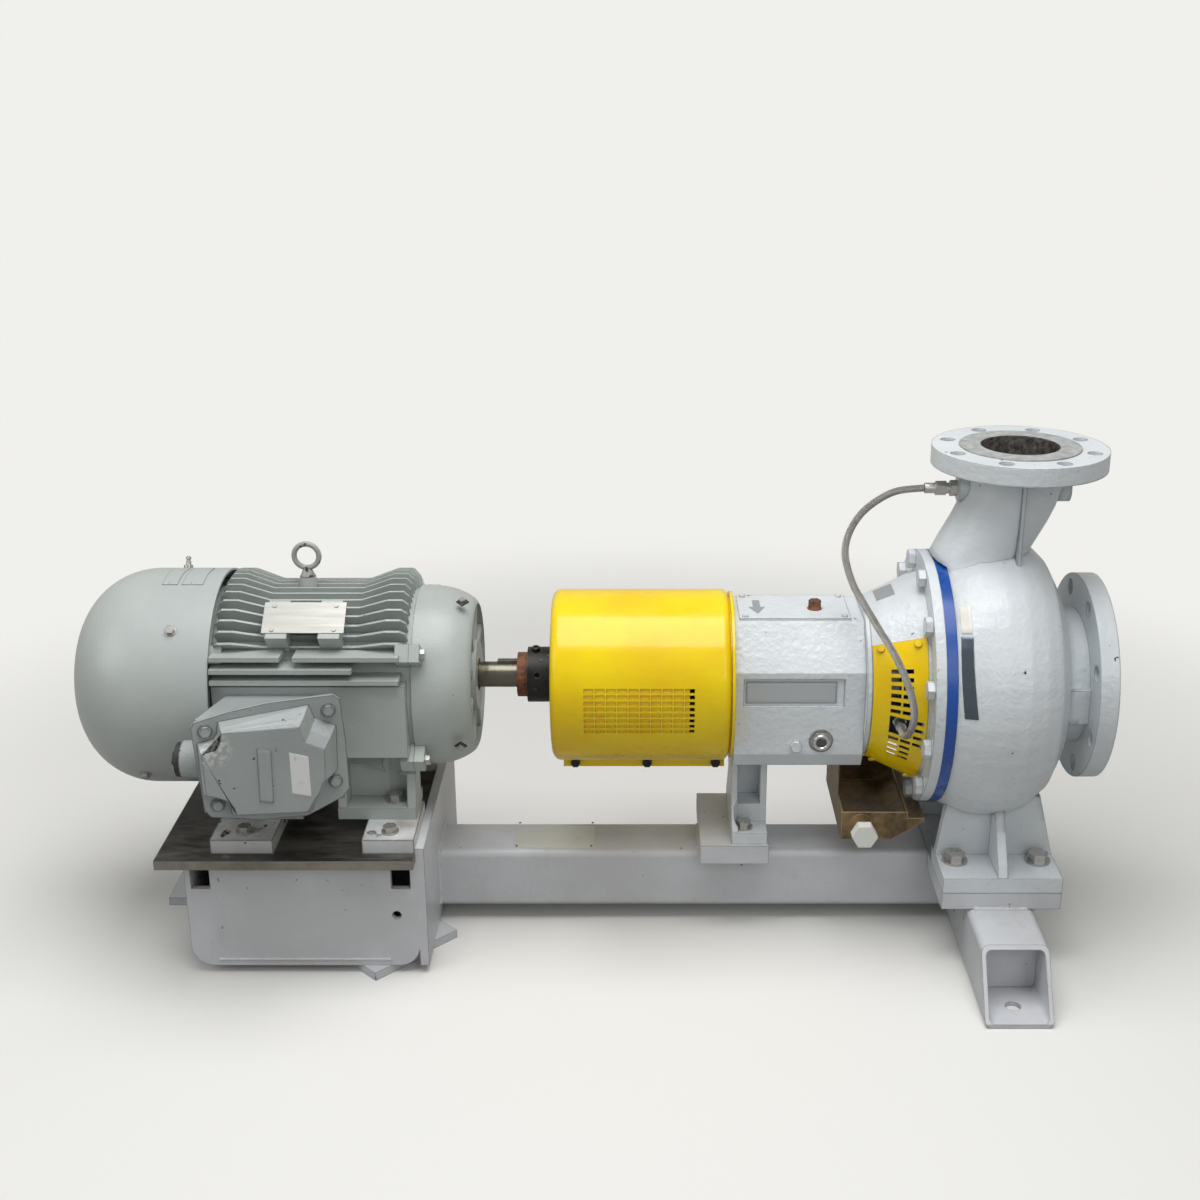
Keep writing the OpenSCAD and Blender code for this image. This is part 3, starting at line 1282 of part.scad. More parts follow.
seal_chamber_l = 42;
seal_chamber_r = 58;
seal_bore_r = 38;
sleeve_r = 27;
gland_t = 14;
gland_x = x_cover - seal_chamber_l - gland_t;
gland_port_x = gland_x + gland_t / 2;
gland_port_d = 12;
spigot_r = 138;
cover_wall = 22;
module casing_cover() {
    color("mediumblue") difference() {
        along_x(x_cover) rotate_extrude($fn = 120) polygon([[sleeve_r + run_gap, cover_wall], [spigot_r - seat_gap, cover_wall],
            [spigot_r - seat_gap, cover_rim_t], [casing_rim_r, cover_rim_t], [casing_rim_r, 0], [seal_chamber_r + 14, 0],
            [seal_chamber_r, -14], [seal_chamber_r, -seal_chamber_l], [seal_bore_r, -seal_chamber_l],
            [seal_bore_r, cover_wall - 8], [sleeve_r + run_gap, cover_wall - 8]]);
        casing_bolt_holes(x_cover - cut, cover_rim_t + 2 * cut, casing_bolt_d + 2 * seat_gap);
        gland_screw_holes(16, gland_screw_d + 2 * seat_gap);
    }
}
gland_screw_d = 8;
module gland_screw_holes(depth, d) {
    round_shaft([45, 135, 225, 315], (seal_bore_r + seal_chamber_r) / 2, gland_x - cut) rotate([0, 90, 0])
        cylinder(d = d, h = gland_t + depth + cut, $fn = 24);
}
module seal_gland() {
    color("lightgray") difference() {
        along_x(gland_x) {
            cylinder(r = seal_chamber_r, h = gland_t, $fn = 96);
            translate([0, 0, gland_t - cut]) cylinder(r = seal_bore_r - seat_gap, h = 6);
        }
        along_x(gland_x - cut) cylinder(r = sleeve_r + run_gap, h = 40);
        gland_screw_holes(cut, gland_screw_d + 2 * seat_gap);
        round_shaft([seal_port_angle], seal_chamber_r - 14, gland_port_x) cylinder(d = gland_port_d + 2 * seat_gap, h = 20, $fn = 32);
    }
    color("lightgray") round_shaft([45, 135, 225, 315], (seal_bore_r + seal_chamber_r) / 2, gland_x) rotate([0, -90, 0])
        hex_bolt(13, 6, gland_screw_d, gland_t + 12);
}
module seal_ring() {
    color("dimgray") along_x(x_cover - 20) difference() {
        cylinder(r = seal_bore_r - 3, h = 18);
        translate([0, 0, -cut]) cylinder(r = sleeve_r + seat_gap, h = 20);
    }
}
module casing_bolts() {
    color("whitesmoke") round_shaft(spread(casing_bolts, 180 / casing_bolts), casing_bolt_r, x_flange)
        rotate([0, -90, 0]) hex_bolt(22, 10, casing_bolt_d, adapter_flange_t + cover_rim_t + casing_bolt_grip);
}

// Rotor of the pump

x_impeller = x_casing + 14;
impeller_hub_l = 52;
impeller_hub_r = 30;
nose_r = 18;
module pump_shaft() {
    journal0 = x_housing0 - bearing_cap_l - 4;
    color("silver") {
        along_x(x_pump_end) cylinder(r = pump_end_r, h = journal0 - x_pump_end);
        along_x(journal0) cylinder(r = pump_shaft_r, h = gland_x - 12 - journal0);
        along_x(gland_x - 12) cylinder(r = sleeve_r, h = x_impeller - gland_x + 12);
        along_x(x_impeller) cylinder(r = nose_r, h = impeller_hub_l + 8);
    }
}
module pump_bearings() {
    color("silver") for (x = pump_bearing_x) along_x(x)
        outer_race(pump_shaft_r + seat_gap, pump_bearing_r, pump_bearing_w);
}
module pump_bearing_inners() {
    color("silver") for (x = pump_bearing_x) along_x(x)
        inner_race(pump_shaft_r + seat_gap, pump_bearing_r, pump_bearing_w);
}
shroud_t = 5;
eye_r = 70;
// Closed impeller: two shrouds of revolution with backward-curved blades between them
module impeller() {
    w = impeller_outlet_w;
    r = impeller_r;
    color("darkkhaki") along_x(x_impeller) difference() {
        union() {
            rotate_extrude($fn = 120) polygon([[0, 0], [r, 0], [r, shroud_t], [impeller_hub_r + 14, shroud_t + 3],
                [impeller_hub_r, 22], [impeller_hub_r - 4, impeller_hub_l], [0, impeller_hub_l]]);
            rotate_extrude($fn = 120) polygon([[r, shroud_t + w], [r, 2 * shroud_t + w], [r - 36, 2 * shroud_t + w + 9],
                [eye_r + 6, w + 24], [eye_r + 6, w + 40], [eye_r, w + 40], [eye_r, w + 22], [r - 40, shroud_t + w + 8]]);
            intersection() {
                linear_extrude(w + 40) for (a = spread(impeller_blades)) rotate(a) blade_outline();
                rotate_extrude($fn = 120) polygon([[26, 2], [r - cut, 2], [r - cut, shroud_t + w + 1], [r - 38, shroud_t + w + 10],
                    [eye_r + 2, w + 26], [40, w + 14], [26, w + 4]]);
            }
        }
        translate([0, 0, -cut]) cylinder(r = nose_r + seat_gap, h = impeller_hub_l + 2 * cut);
    }
}
module blade_outline() {
    bend = 70;
    intersection() {
        difference() {
            translate([bend, 0]) circle(bend + 2.5, $fn = 96);
            translate([bend, 0]) circle(bend - 2.5, $fn = 96);
        }
        translate([0, 26]) square([impeller_r, impeller_r]);
        circle(impeller_r - 1.5, $fn = 96);
    }
}
module impeller_nut() {
    color("silver") along_x(x_impeller + impeller_hub_l) difference() {
        union() {
            cylinder(r = 25, h = 16, $fn = 6);
            translate([0, 0, 15]) cylinder(r1 = 18, r2 = 8, h = 12);
        }
        translate([0, 0, -cut]) cylinder(r = nose_r + seat_gap, h = 9);
    }
}

// Casing

// How much of the scroll's growth is reached at an angle from the top towards the front
tongue_a = 60;
throat_a = 340;
function scroll(a) = a < tongue_a ? 1 - (a + 360 - throat_a) / (360 - throat_a + tongue_a)
    : a > throat_a ? 1 - (a - throat_a) / (360 - throat_a + tongue_a)
    : (a - tongue_a) / (throat_a - tongue_a);
// Stations of the casing skin: distance from the back, radius, share of the scroll growth
skin = [[0, casing_rim_r, 0], [16, casing_rim_r + 6, 0.3], [38, casing_rim_r + 11, 0.85], [64, casing_rim_r + 12, 1],
    [92, casing_rim_r + 10, 0.9], [116, casing_rim_r + 2, 0.6], [138, casing_rim_r - 14, 0.3],
    [154, casing_rim_r - 42, 0.1], [163, suction_nozzle_r + 6, 0]];
skin_steps = 44;
module casing_skin(inset, first, last) {
    loft([for (k = [first : last]) [for (i = [0 : skin_steps - 1]) let(a = i * 360 / skin_steps,
        r = skin[k][1] - inset + skin[k][2] * scroll_growth * scroll(a))
        [x_casing + skin[k][0], -r * sin(a), r * cos(a)]]]);
}
neck_steps = 28;
neck_line = [[-45, shaft_z + 128], [-38, shaft_z + 198], [discharge_x - 8, shaft_z + 218],
    [discharge_x, discharge_z - discharge_flange_t]];
module neck_skin(r) {
    loft([for (k = [0 : 8]) let(c = bezier(neck_line, k / 8)) [for (i = [0 : neck_steps - 1]) let(a = i * 360 / neck_steps)
        [c[0] + r * cos(a), r * sin(a), c[1] + (k == 8 ? 0.5 : 0)]]]);
}
boss_reach = 73.5;
boss_z = 265;
boss_d = 35;
boss_bore_d = 14;
suction_back_x = suction_reach - raised_face_t - suction_flange_t;
// Back end of the ring that the impeller's eye runs in
eye_ring_x = -20;
module volute_casing() {
    color("gainsboro") difference() {
        union() {
            difference() {
                casing_body();
                along_x(x_casing - cut) cylinder(r = spigot_r, h = 18, $fn = 120);
                at_shaft() casing_skin(casing_wall + 2, 1, 7);
                neck_skin(discharge_bore_d / 2 - 2);
            }
            along_x(eye_ring_x) cylinder(r = suction_bore_d / 2 + 8, h = 82 - eye_ring_x, $fn = 96);
        }
        along_x(eye_ring_x - cut) cylinder(d = suction_bore_d, h = suction_reach - eye_ring_x + 2 * cut, $fn = 96);
        translate([discharge_x, 0, discharge_z - 70])
            cylinder(d = discharge_bore_d, h = 70 + cut, $fn = 96);
        flange_holes_up();
        flange_holes_side();
        casing_bolt_holes(x_casing - cut, casing_bolt_grip + cut + 1.5, casing_bolt_d + 2 * seat_gap);
        casing_foot_holes(casing_stud_d + 2 * seat_gap, cut);
        translate([discharge_x - 6 - boss_reach, 0, shaft_z + boss_z]) rotate([0, 90, 0])
            cylinder(d = boss_bore_d + 2 * seat_gap, h = 26, $fn = 48);
    }
}
// Outside of the casting: scroll, neck, flanges, bosses and feet
module casing_body() {
    at_shaft() casing_skin(0, 0, 8);
    difference() {
        neck_skin(neck_r);
        along_x(x_casing - 60) cylinder(r = casing_rim_r + 3, h = 60, $fn = 120);
    }
    translate([discharge_x, 0, discharge_z]) rotate([180, 0, 0])
        pipe_flange(discharge_flange_d, discharge_flange_t, 157.2);
    along_x(x_casing + 110)
        cylinder(r = suction_nozzle_r, h = suction_back_x - x_casing - 109, $fn = 96);
    along_x(suction_reach) rotate([180, 0, 0]) pipe_flange(suction_flange_d, suction_flange_t, 216);
    translate([discharge_x - 5 - boss_reach, 0, shaft_z + boss_z]) rotate([0, 90, 0])
        cylinder(d = boss_d, h = 2 * boss_reach);
    neck_rib();
    at_shaft(suction_back_x - 30) translate([0, -suction_nozzle_r - 5, -32]) cube([30, 40, 48]);
    both_sides() casing_foot();
}
// Pipe flange with its raised face down on z = 0
module pipe_flange(d, t, face_d) {
    translate([0, 0, raised_face_t]) cylinder(d = d, h = t, $fn = 120);
    cylinder(d = face_d, h = raised_face_t + cut, $fn = 96);
}
module flange_holes_up() {
    for (a = spread(flange_bolts, 180 / flange_bolts)) translate([discharge_x, 0, discharge_z - 40]) rotate(a)
        translate([discharge_pcd / 2, 0, 0]) cylinder(d = discharge_hole_d, h = 40 + cut, $fn = 40);
}
module flange_holes_side() {
    round_shaft(spread(flange_bolts, 180 / flange_bolts), suction_pcd / 2, suction_back_x - cut) rotate([0, 90, 0])
        cylinder(d = suction_hole_d, h = suction_flange_t + 10, $fn = 40);
}
module neck_rib() {
    translate([discharge_x - 8, -neck_r - 5, shaft_z + 158]) cube([5, 30, 140]);
}
foot_rib_t = 13;
foot_web_y = 80;
module casing_foot() {
    l = casing_foot_l;
    translate([-l / 2, -casing_foot_reach, sole_top_z]) cube([l, casing_foot_reach - 66, casing_foot_t]);
    translate([0, -foot_web_y, 0]) rotate([90, 0, 0]) linear_extrude(12)
        polygon([[-l / 2, sole_top_z + casing_foot_t - 1], [l / 2, sole_top_z + casing_foot_t - 1],
            [l / 2 - 22, shaft_z - 140], [-l / 2 + 12, shaft_z - 140]]);
    rotate([90, 0, 90]) linear_extrude(foot_rib_t, center = true)
        polygon([[-casing_foot_reach + 1, sole_top_z + casing_foot_t - 1], [-casing_foot_reach + 9, sole_top_z + casing_foot_t + 16],
            [-foot_web_y - 30, shaft_z - 155], [-foot_web_y - 22, shaft_z - 110], [-66, shaft_z - 110], [-66, sole_top_z]]);
}

// Flush line from the discharge neck to the seal gland

hose_d = 9.5;
hose_points = [[-108, 0, 627], [-143, 0, 623], [-169, -5, 612], [-192, -15, 596], [-208, -30, 576],
    [-215, -46, 556], [-213, -63, 537], [-205, -81, 516], [-192, -99, 496], [-176, -117, 472],
    [-160, -134, 449], [-148.5, -150, 427.5], [-140, -164.3, 406.2], [-135.5, -174, 385.5],
    [-135.5, -175.5, 368.5], [-137.8, -168.9, 353.1], [-140.6, -157.4, 341.8], [-142.3, -143.5, 337.5],
    [-142.5, -128, 338.4]];
hose_end_r = 130;
function unit(v) = v / norm(v);
function catmull(p, k, t) = let(a = p[max(k - 1, 0)], b = p[k], c = p[k + 1], d = p[min(k + 2, len(p) - 1)])
    0.5 * (2 * b + (c - a) * t + (2 * a - 5 * b + 4 * c - d) * t * t + (3 * b - a - 3 * c + d) * t * t * t);
// Rings of a round tube along a line of points, turned as little as possible from one to the next
function tube_rings(line, r, sides) = let(n = len(line),
    tangent = [for (k = [0 : n - 1]) unit(line[min(k + 1, n - 1)] - line[max(k - 1, 0)])])
    [for (k = 0, u = unit(cross(tangent[0], [0, 1, 0])); k < n;
        k = k + 1, u = k < n ? unit(u - tangent[k] * (u * tangent[k])) : u)
        let(v = cross(tangent[k], u)) [for (i = [0 : sides - 1])
            line[k] + r * (cos(i * 360 / sides) * u + sin(i * 360 / sides) * v)]];
module flush_hose() {
    line = [for (k = [0 : len(hose_points) - 2]) each [catmull(hose_points, k, 0), catmull(hose_points, k, 0.5)],
        hose_points[len(hose_points) - 1]];
    color("silver") loft(tube_rings(line, hose_d / 2, 10));
}
// Nipple, nut and crimped sleeve at each end of the hose, drawn upwards
module hose_end(sink, l) {
    translate([0, 0, -sink]) cylinder(r = 6, h = sink + l - 28);
    translate([0, 0, l - 34]) cylinder(r = 7.2, h = 12);
    translate([0, 0, l - 28]) cylinder(r = 9.8, h = 14, $fn = 6);
    translate([0, 0, l - 14]) cylinder(r = 7, h = 14);
}
module hose_fittings() {
    neck_end = discharge_x - 5 - boss_reach;
    color("silver") {
        translate([neck_end, 0, shaft_z + boss_z]) rotate([0, -90, 0]) {
            translate([0, 0, -18]) cylinder(d = boss_bore_d, h = 19);
            cylinder(r = 11, h = 10, $fn = 6);
            hose_end(0, neck_end - hose_points[0][0]);
        }
        round_shaft([seal_port_angle], seal_chamber_r, gland_port_x) {
            hose_end(12, hose_end_r - seal_chamber_r);
        }
    }
}

pan_x = [x_housing1 - 24, x_cover - 3];
pan_half_w = 90;
pan_z = [156, 197];
pan_t = 2;
pan_nipple_x = pan_x[0] + 27;
pan_nipple_z = pan_z[0] + 24;
pan_hanger_w = 64;
// Sheet metal tray hung from the underside of the bearing housing
module drip_pan() {
    housing_bottom = shaft_z - housing_bottom_h;
    color("peru") difference() {
        union() {
            rotate([90, 0, 0]) linear_extrude(2 * pan_half_w, center = true) pan_outline(0, 0);
            translate([pan_x[0], -pan_hanger_w / 2, pan_z[0]]) cube([pan_t, pan_hanger_w, housing_bottom - pan_z[0]]);
            translate([pan_x[0], -pan_hanger_w / 2, housing_bottom - pan_t]) cube([22, pan_hanger_w, pan_t]);
            translate([pan_nipple_x, -pan_half_w, pan_nipple_z]) rotate([90, 0, 0]) cylinder(r = nipple_r, h = nipple_l);
        }
        rotate([90, 0, 0]) linear_extrude(2 * (pan_half_w - pan_t), center = true) pan_outline(pan_t, cut);
        translate([pan_nipple_x, -pan_half_w + 10, pan_nipple_z]) rotate([90, 0, 0]) cylinder(r = nipple_r - 4, h = nipple_l + 20);
    }
}
module pan_outline(t, open) {
    step_x = x_flange - 12;
    low = pan_z[0] + t;
    polygon([[pan_x[0] + t, low], [pan_x[1] - 44 - t * 0.5, low], [pan_x[1] - t, pan_z[0] + 27 + t * 0.7],
        [pan_x[1] - t, pan_z[1] - 9 + open], [step_x - t, pan_z[1] - 9 + open], [step_x - t, pan_z[1] + open],
        [pan_x[0] + t, pan_z[1] + open]]);
}
nipple_r = 14;
nipple_l = 24;
module drain_plug() {
    color("white") translate([pan_nipple_x, -pan_half_w - nipple_l, pan_nipple_z]) rotate([90, 0, 0]) {
        translate([0, 0, -16]) cylinder(r = nipple_r - 4 - seat_gap, h = 17);
        cylinder(r = 17.5, h = 16, $fn = 6);
    }
}

base_beam();
pump_leg();
sole_plate();
bearing_pad();
motor_pedestal();
motor_plate();
anchor_lugs();
motor_pads();
base_bolts();
motor_frame();
stator_core();
stator_windings();
drive_end_bell();
rear_bell();
bell_screws();
fan_cover();
terminal_box();
terminal_cover();
terminal_screws();
conduit_plug();
eyebolt();
nameplate();
motor_bearings();
motor_shaft();
rotor_core();
cooling_fan();
motor_bearing_inners();
shaft_key();
hub_bush();
motor_hub();
coupling_spacer();
motor_disc_pack();
pump_disc_pack();
pump_hub();
pump_shaft();
pump_bearing_inners();
impeller();
impeller_nut();
seal_ring();
coupling_guard();
guard_plate();
guard_screws();
bearing_housing();
top_cover();
filler_plug();
sight_glass();
support_foot();
adapter();
seal_guard();
seal_gland();
casing_cover();
casing_bolts();
volute_casing();
flush_hose();
hose_fittings();
drip_pan();
drain_plug();
pump_bearings();
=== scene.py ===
import math

import bpy
import mathutils
import numpy as np
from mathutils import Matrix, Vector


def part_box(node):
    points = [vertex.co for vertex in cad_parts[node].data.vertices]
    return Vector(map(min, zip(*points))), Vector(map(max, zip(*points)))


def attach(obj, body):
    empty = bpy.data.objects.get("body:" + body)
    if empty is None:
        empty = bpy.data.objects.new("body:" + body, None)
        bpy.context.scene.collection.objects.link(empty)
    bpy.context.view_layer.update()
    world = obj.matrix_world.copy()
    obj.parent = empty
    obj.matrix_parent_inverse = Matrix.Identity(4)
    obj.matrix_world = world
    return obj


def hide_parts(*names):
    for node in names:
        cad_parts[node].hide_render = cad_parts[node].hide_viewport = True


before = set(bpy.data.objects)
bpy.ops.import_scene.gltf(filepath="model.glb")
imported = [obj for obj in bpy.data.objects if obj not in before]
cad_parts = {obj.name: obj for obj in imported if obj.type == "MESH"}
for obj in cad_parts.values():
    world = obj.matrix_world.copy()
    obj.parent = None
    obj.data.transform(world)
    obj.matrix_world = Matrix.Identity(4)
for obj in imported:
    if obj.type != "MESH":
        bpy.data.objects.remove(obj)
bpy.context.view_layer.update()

# Camera
# A 48 mm view from the front, from above the shaft and level with the coupling, tipped down by
# 20 degrees.
camera_data = bpy.data.cameras.new("camera")
camera_data.lens = 48
camera_data.sensor_width = 36
camera_data.shift_x = -0.0333
camera = bpy.data.objects.new("camera", camera_data)
camera.location = (-0.4825, -2.030, 1.205)
camera.rotation_euler = (math.radians(70.1), 0, 0)
bpy.context.scene.collection.objects.link(camera)
bpy.context.scene.camera = camera
bpy.context.scene.view_settings.view_transform = "Standard"


# Flush hose
# A 9.5 mm hose with a stainless wire braid over a plastic liner, crimped into a steel sleeve at
# each end. It leaves the discharge neck, swings out over the adapter and loops up into the seal.
hose_route = np.array([
    (-0.108, 0, 0.627), (-0.143, 0, 0.623), (-0.169, -0.005, 0.612), (-0.192, -0.015, 0.596),
    (-0.208, -0.030, 0.576), (-0.215, -0.046, 0.556), (-0.213, -0.063, 0.537),
    (-0.205, -0.081, 0.516), (-0.192, -0.099, 0.496), (-0.176, -0.117, 0.472),
    (-0.160, -0.134, 0.449), (-0.1485, -0.150, 0.4275), (-0.140, -0.1643, 0.4062),
    (-0.1355, -0.174, 0.3855), (-0.1355, -0.1755, 0.3685), (-0.1378, -0.1689, 0.3531),
    (-0.1406, -0.1574, 0.3418), (-0.1423, -0.1435, 0.3375), (-0.1425, -0.128, 0.3384)])
hose_d = 0.0095


def curve_through(route, steps):
    """A smooth line through the route's points: on each span, half of the cubic blend of its two
    ends and their neighbours, with the neighbour repeated at the two ends of the route."""
    ends = np.vstack([route[:1], route, route[-1:]])
    a, b, c, d = (ends[i:len(ends) - 3 + i, None, :] for i in range(4))
    t = np.linspace(0, 1, steps, endpoint=False)[None, :, None]
    line = 0.5 * (2 * b + (c - a) * t + (2 * a - 5 * b + 4 * c - d) * t ** 2
                  + (3 * b - a - 3 * c + d) * t ** 3)
    return np.vstack([line.reshape(-1, 3), route[-1:]])


def frames_along(line):
    """Two directions square to the line at each of its points. The side direction is the part of
    a fixed upright that is square to the tangent, and the other is square to both."""
    tangent = np.gradient(line, axis=0)
    tangent /= np.linalg.norm(tangent, axis=1)[:, None]
    lead = np.array([0.31, 0.83, 0.47])
    side = lead - tangent * (tangent @ lead)[:, None]
    side /= np.linalg.norm(side, axis=1)[:, None]
    return side, np.cross(tangent, side)


def grid_piece(name, points, closed_u=False, smooth=True):
    """A mesh of four-sided faces over a grid of points, rows along v and columns along u. The
    columns join up again where closed_u is true. The uv map is the place in the grid, 0 to 1."""
    rows, columns = points.shape[:2]
    spans = columns if closed_u else columns - 1
    i = np.arange(rows - 1)[:, None] * columns
    j = np.arange(spans)[None, :]
    k = (j + 1) % columns
    faces = np.stack([i + j, i + k, i + columns + k, i + columns + j], axis=-1).reshape(-1, 4)
    mesh = bpy.data.meshes.new(name)
    mesh.from_pydata(points.reshape(-1, 3).tolist(), [], faces.tolist())
    v = np.repeat(np.arange(rows - 1), spans) / (rows - 1)
    u = np.tile(np.arange(spans), rows - 1) / spans
    corners = np.stack([u, v, u + 1 / spans, v, u + 1 / spans, v + 1 / (rows - 1),
                        u, v + 1 / (rows - 1)], axis=-1)
    mesh.uv_layers.new(name="place").data.foreach_set("uv", corners.ravel().astype(np.float32))
    mesh.polygons.foreach_set("use_smooth", np.full(len(faces), smooth))
    mesh.update()
    piece = bpy.data.objects.new(name, mesh)
    bpy.context.scene.collection.objects.link(piece)
    return piece


def braided_tube(line, radius, strands, lay):
    """Rings of a tube round the line. Each point's radius is the mean radius plus a small part of
    the larger of two waves that wind round the tube in opposite senses, as crossing strands do."""
    side, up = frames_along(line)
    a = np.linspace(0, 2 * np.pi, 48, endpoint=False)[None, :]
    run = np.concatenate([[0], np.cumsum(np.linalg.norm(np.diff(line, axis=0), axis=1))])[:, None]
    one = np.cos(strands * (a + run / lay))
    other = np.cos(strands * (a - run / lay))
    r = radius * (0.965 + 0.035 * np.maximum(one, other))
    return (line[:, None, :] + r[..., None] * (np.cos(a)[..., None] * side[:, None, :]
                                                + np.sin(a)[..., None] * up[:, None, :]))


hose_line = curve_through(hose_route, steps=48)
hose = grid_piece("hose_braid", braided_tube(hose_line, radius=hose_d / 2, strands=8, lay=0.0062),
                  closed_u=True)


def put(tree, kind, values=None, **settings):
    """One shader node. Each value goes to the socket of that name or number: a socket is linked,
    and a number or colour is set."""
    node = tree.nodes.new(kind)
    for key, value in settings.items():
        setattr(node, key, value)
    for key, value in (values or {}).items():
        if isinstance(value, bpy.types.NodeSocket):
            tree.links.new(value, node.inputs[key])
        else:
            node.inputs[key].default_value = value
    return node


def work(tree, operation, a, b=0.0, c=0.0, clamp=False):
    """The value socket of a Math node. Only MULTIPLY_ADD takes the third value."""
    values = {0: a, 1: b, 2: c} if operation == "MULTIPLY_ADD" else {0: a, 1: b}
    return put(tree, "ShaderNodeMath", values, operation=operation, use_clamp=clamp).outputs[0]


def step(tree, value, low, high, out_low=0.0, out_high=1.0):
    """The value, eased from one level to another between low and high."""
    return put(tree, "ShaderNodeMapRange", {"Value": value, "From Min": low, "From Max": high,
               "To Min": out_low, "To Max": out_high}, interpolation_type="SMOOTHSTEP").outputs[0]


def blend(tree, mask, under, over, mode="MIX"):
    """The colour socket of a Mix node between two colours."""
    node = put(tree, "ShaderNodeMix", data_type="RGBA", blend_type=mode)
    for index, value in ((0, mask), (6, under), (7, over)):
        if isinstance(value, bpy.types.NodeSocket):
            tree.links.new(value, node.inputs[index])
        else:
            node.inputs[index].default_value = value
    return node.outputs[2]


def noise(tree, place, scale, detail=4.0, rough=0.55, stretch=None):
    """The value of a noise pattern at the place, after stretching the place if asked."""
    if stretch:
        place = put(tree, "ShaderNodeMapping", {"Vector": place, "Scale": stretch}).outputs[0]
    return put(tree, "ShaderNodeTexNoise", {"Vector": place, "Scale": scale, "Detail": detail,
               "Roughness": rough}).outputs[0]


def new_group(name, inputs, outputs):
    """An empty node group with its named sockets, and its input and output nodes."""
    group = bpy.data.node_groups.new(name, "ShaderNodeTree")
    for label, kind, value in inputs:
        socket = group.interface.new_socket(label, in_out="INPUT", socket_type=kind)
        if value is not None:
            socket.default_value = value
    for label, kind in outputs:
        group.interface.new_socket(label, in_out="OUTPUT", socket_type=kind)
    return group, group.nodes.new("NodeGroupInput").outputs, group.nodes.new("NodeGroupOutput")


FLOAT, VECTOR = "NodeSocketFloat", "NodeSocketVector"

# The soft rounding and the fine skin of a surface, as one normal
skin_group, given, taken = new_group(
    "skin", [("Height", FLOAT, 0.5), ("Depth", FLOAT, 0.0002), ("Rounding", FLOAT, 0.001)],
    [("Normal", VECTOR)])
rounded = put(skin_group, "ShaderNodeBevel", {"Radius": given["Rounding"]}, samples=4)
bumped = put(skin_group, "ShaderNodeBump", {"Strength": 1.0, "Distance": given["Depth"],
             "Height": given["Height"], "Normal": rounded.outputs[0]})
skin_group.links.new(bumped.outputs[0], taken.inputs["Normal"])

# Where an edge is worn: the rounded normal turns away from the true one, broken up by noise
edge_group, given, taken = new_group(
    "worn edge", [("Width", FLOAT, 0.002), ("Break up", FLOAT, 0.6), ("Grain", FLOAT, 90.0)],
    [("Mask", FLOAT)])
place = put(edge_group, "ShaderNodeTexCoord").outputs["Object"]
soft = put(edge_group, "ShaderNodeBevel", {"Radius": given["Width"]}, samples=4).outputs[0]
true = put(edge_group, "ShaderNodeNewGeometry").outputs["Normal"]
turn = put(edge_group, "ShaderNodeVectorMath", {0: soft, 1: true},
           operation="DOT_PRODUCT").outputs["Value"]
amount = work(edge_group, "MULTIPLY", work(edge_group, "SUBTRACT", 1.0, turn), 7.0, clamp=True)
ragged = noise(edge_group, place, given["Grain"], 5.0, 0.7)
cut_level = work(edge_group, "MULTIPLY", ragged, given["Break up"])
edge_mask = step(edge_group, work(edge_group, "SUBTRACT", amount, cut_level), 0.15, 0.45)
edge_group.links.new(edge_mask, taken.inputs["Mask"])

# Blotches: noise cut at a level, so that Cover is about the share of the surface they take
blotch_group, given, taken = new_group(
    "blotches", [("Grain", FLOAT, 20.0), ("Cover", FLOAT, 0.2), ("Softness", FLOAT, 0.08),
                 ("Stretch", VECTOR, (1.0, 1.0, 1.0))], [("Mask", FLOAT)])
place = put(blotch_group, "ShaderNodeTexCoord").outputs["Object"]
place = put(blotch_group, "ShaderNodeVectorMath", {0: place, 1: given["Stretch"]},
            operation="MULTIPLY").outputs[0]
field = noise(blotch_group, place, given["Grain"], 6.0, 0.62)
level = work(blotch_group, "MULTIPLY_ADD", given["Cover"], -0.42, 0.71)
blotch_mask = put(blotch_group, "ShaderNodeMapRange", {
    "Value": field, "From Min": level,
    "From Max": work(blotch_group, "ADD", level, given["Softness"])},
    interpolation_type="SMOOTHSTEP").outputs[0]
blotch_group.links.new(blotch_mask, taken.inputs["Mask"])

# Dust and grime that settle on faces that look up, thicker in patches
dust_group, given, taken = new_group(
    "settled dust", [("Grain", FLOAT, 12.0), ("Amount", FLOAT, 0.5)], [("Mask", FLOAT)])
place = put(dust_group, "ShaderNodeTexCoord").outputs["Object"]
up_face = put(dust_group, "ShaderNodeSeparateXYZ",
              {0: put(dust_group, "ShaderNodeNewGeometry").outputs["Normal"]}).outputs[2]
patches = step(dust_group, noise(dust_group, place, given["Grain"], 6.0, 0.65), 0.38, 0.66)
lying = work(dust_group, "MULTIPLY", step(dust_group, up_face, 0.35, 0.95), patches)
dust_mask = work(dust_group, "MULTIPLY", lying, given["Amount"], clamp=True)
dust_group.links.new(dust_mask, taken.inputs["Mask"])


def use(tree, group, **values):
    """A group placed in a material; the values' names have _ for a space."""
    node = put(tree, "ShaderNodeGroup", node_tree=group)
    for key, value in values.items():
        socket = node.inputs[key.replace("_", " ")]
        if isinstance(value, bpy.types.NodeSocket):
            tree.links.new(value, socket)
        else:
            socket.default_value = value
    return node.outputs[0]


def new_finish(name, **settings):
    """A material with one Principled shader, whose plain settings are set on its own sockets."""
    material = bpy.data.materials.new(name)
    material.use_nodes = True
    tree = material.node_tree
    shader = tree.nodes["Principled BSDF"]
    for key, value in settings.items():
        shader.inputs[key.replace("_", " ")].default_value = value
    place = put(tree, "ShaderNodeTexCoord").outputs["Object"]
    return material, tree, shader, place


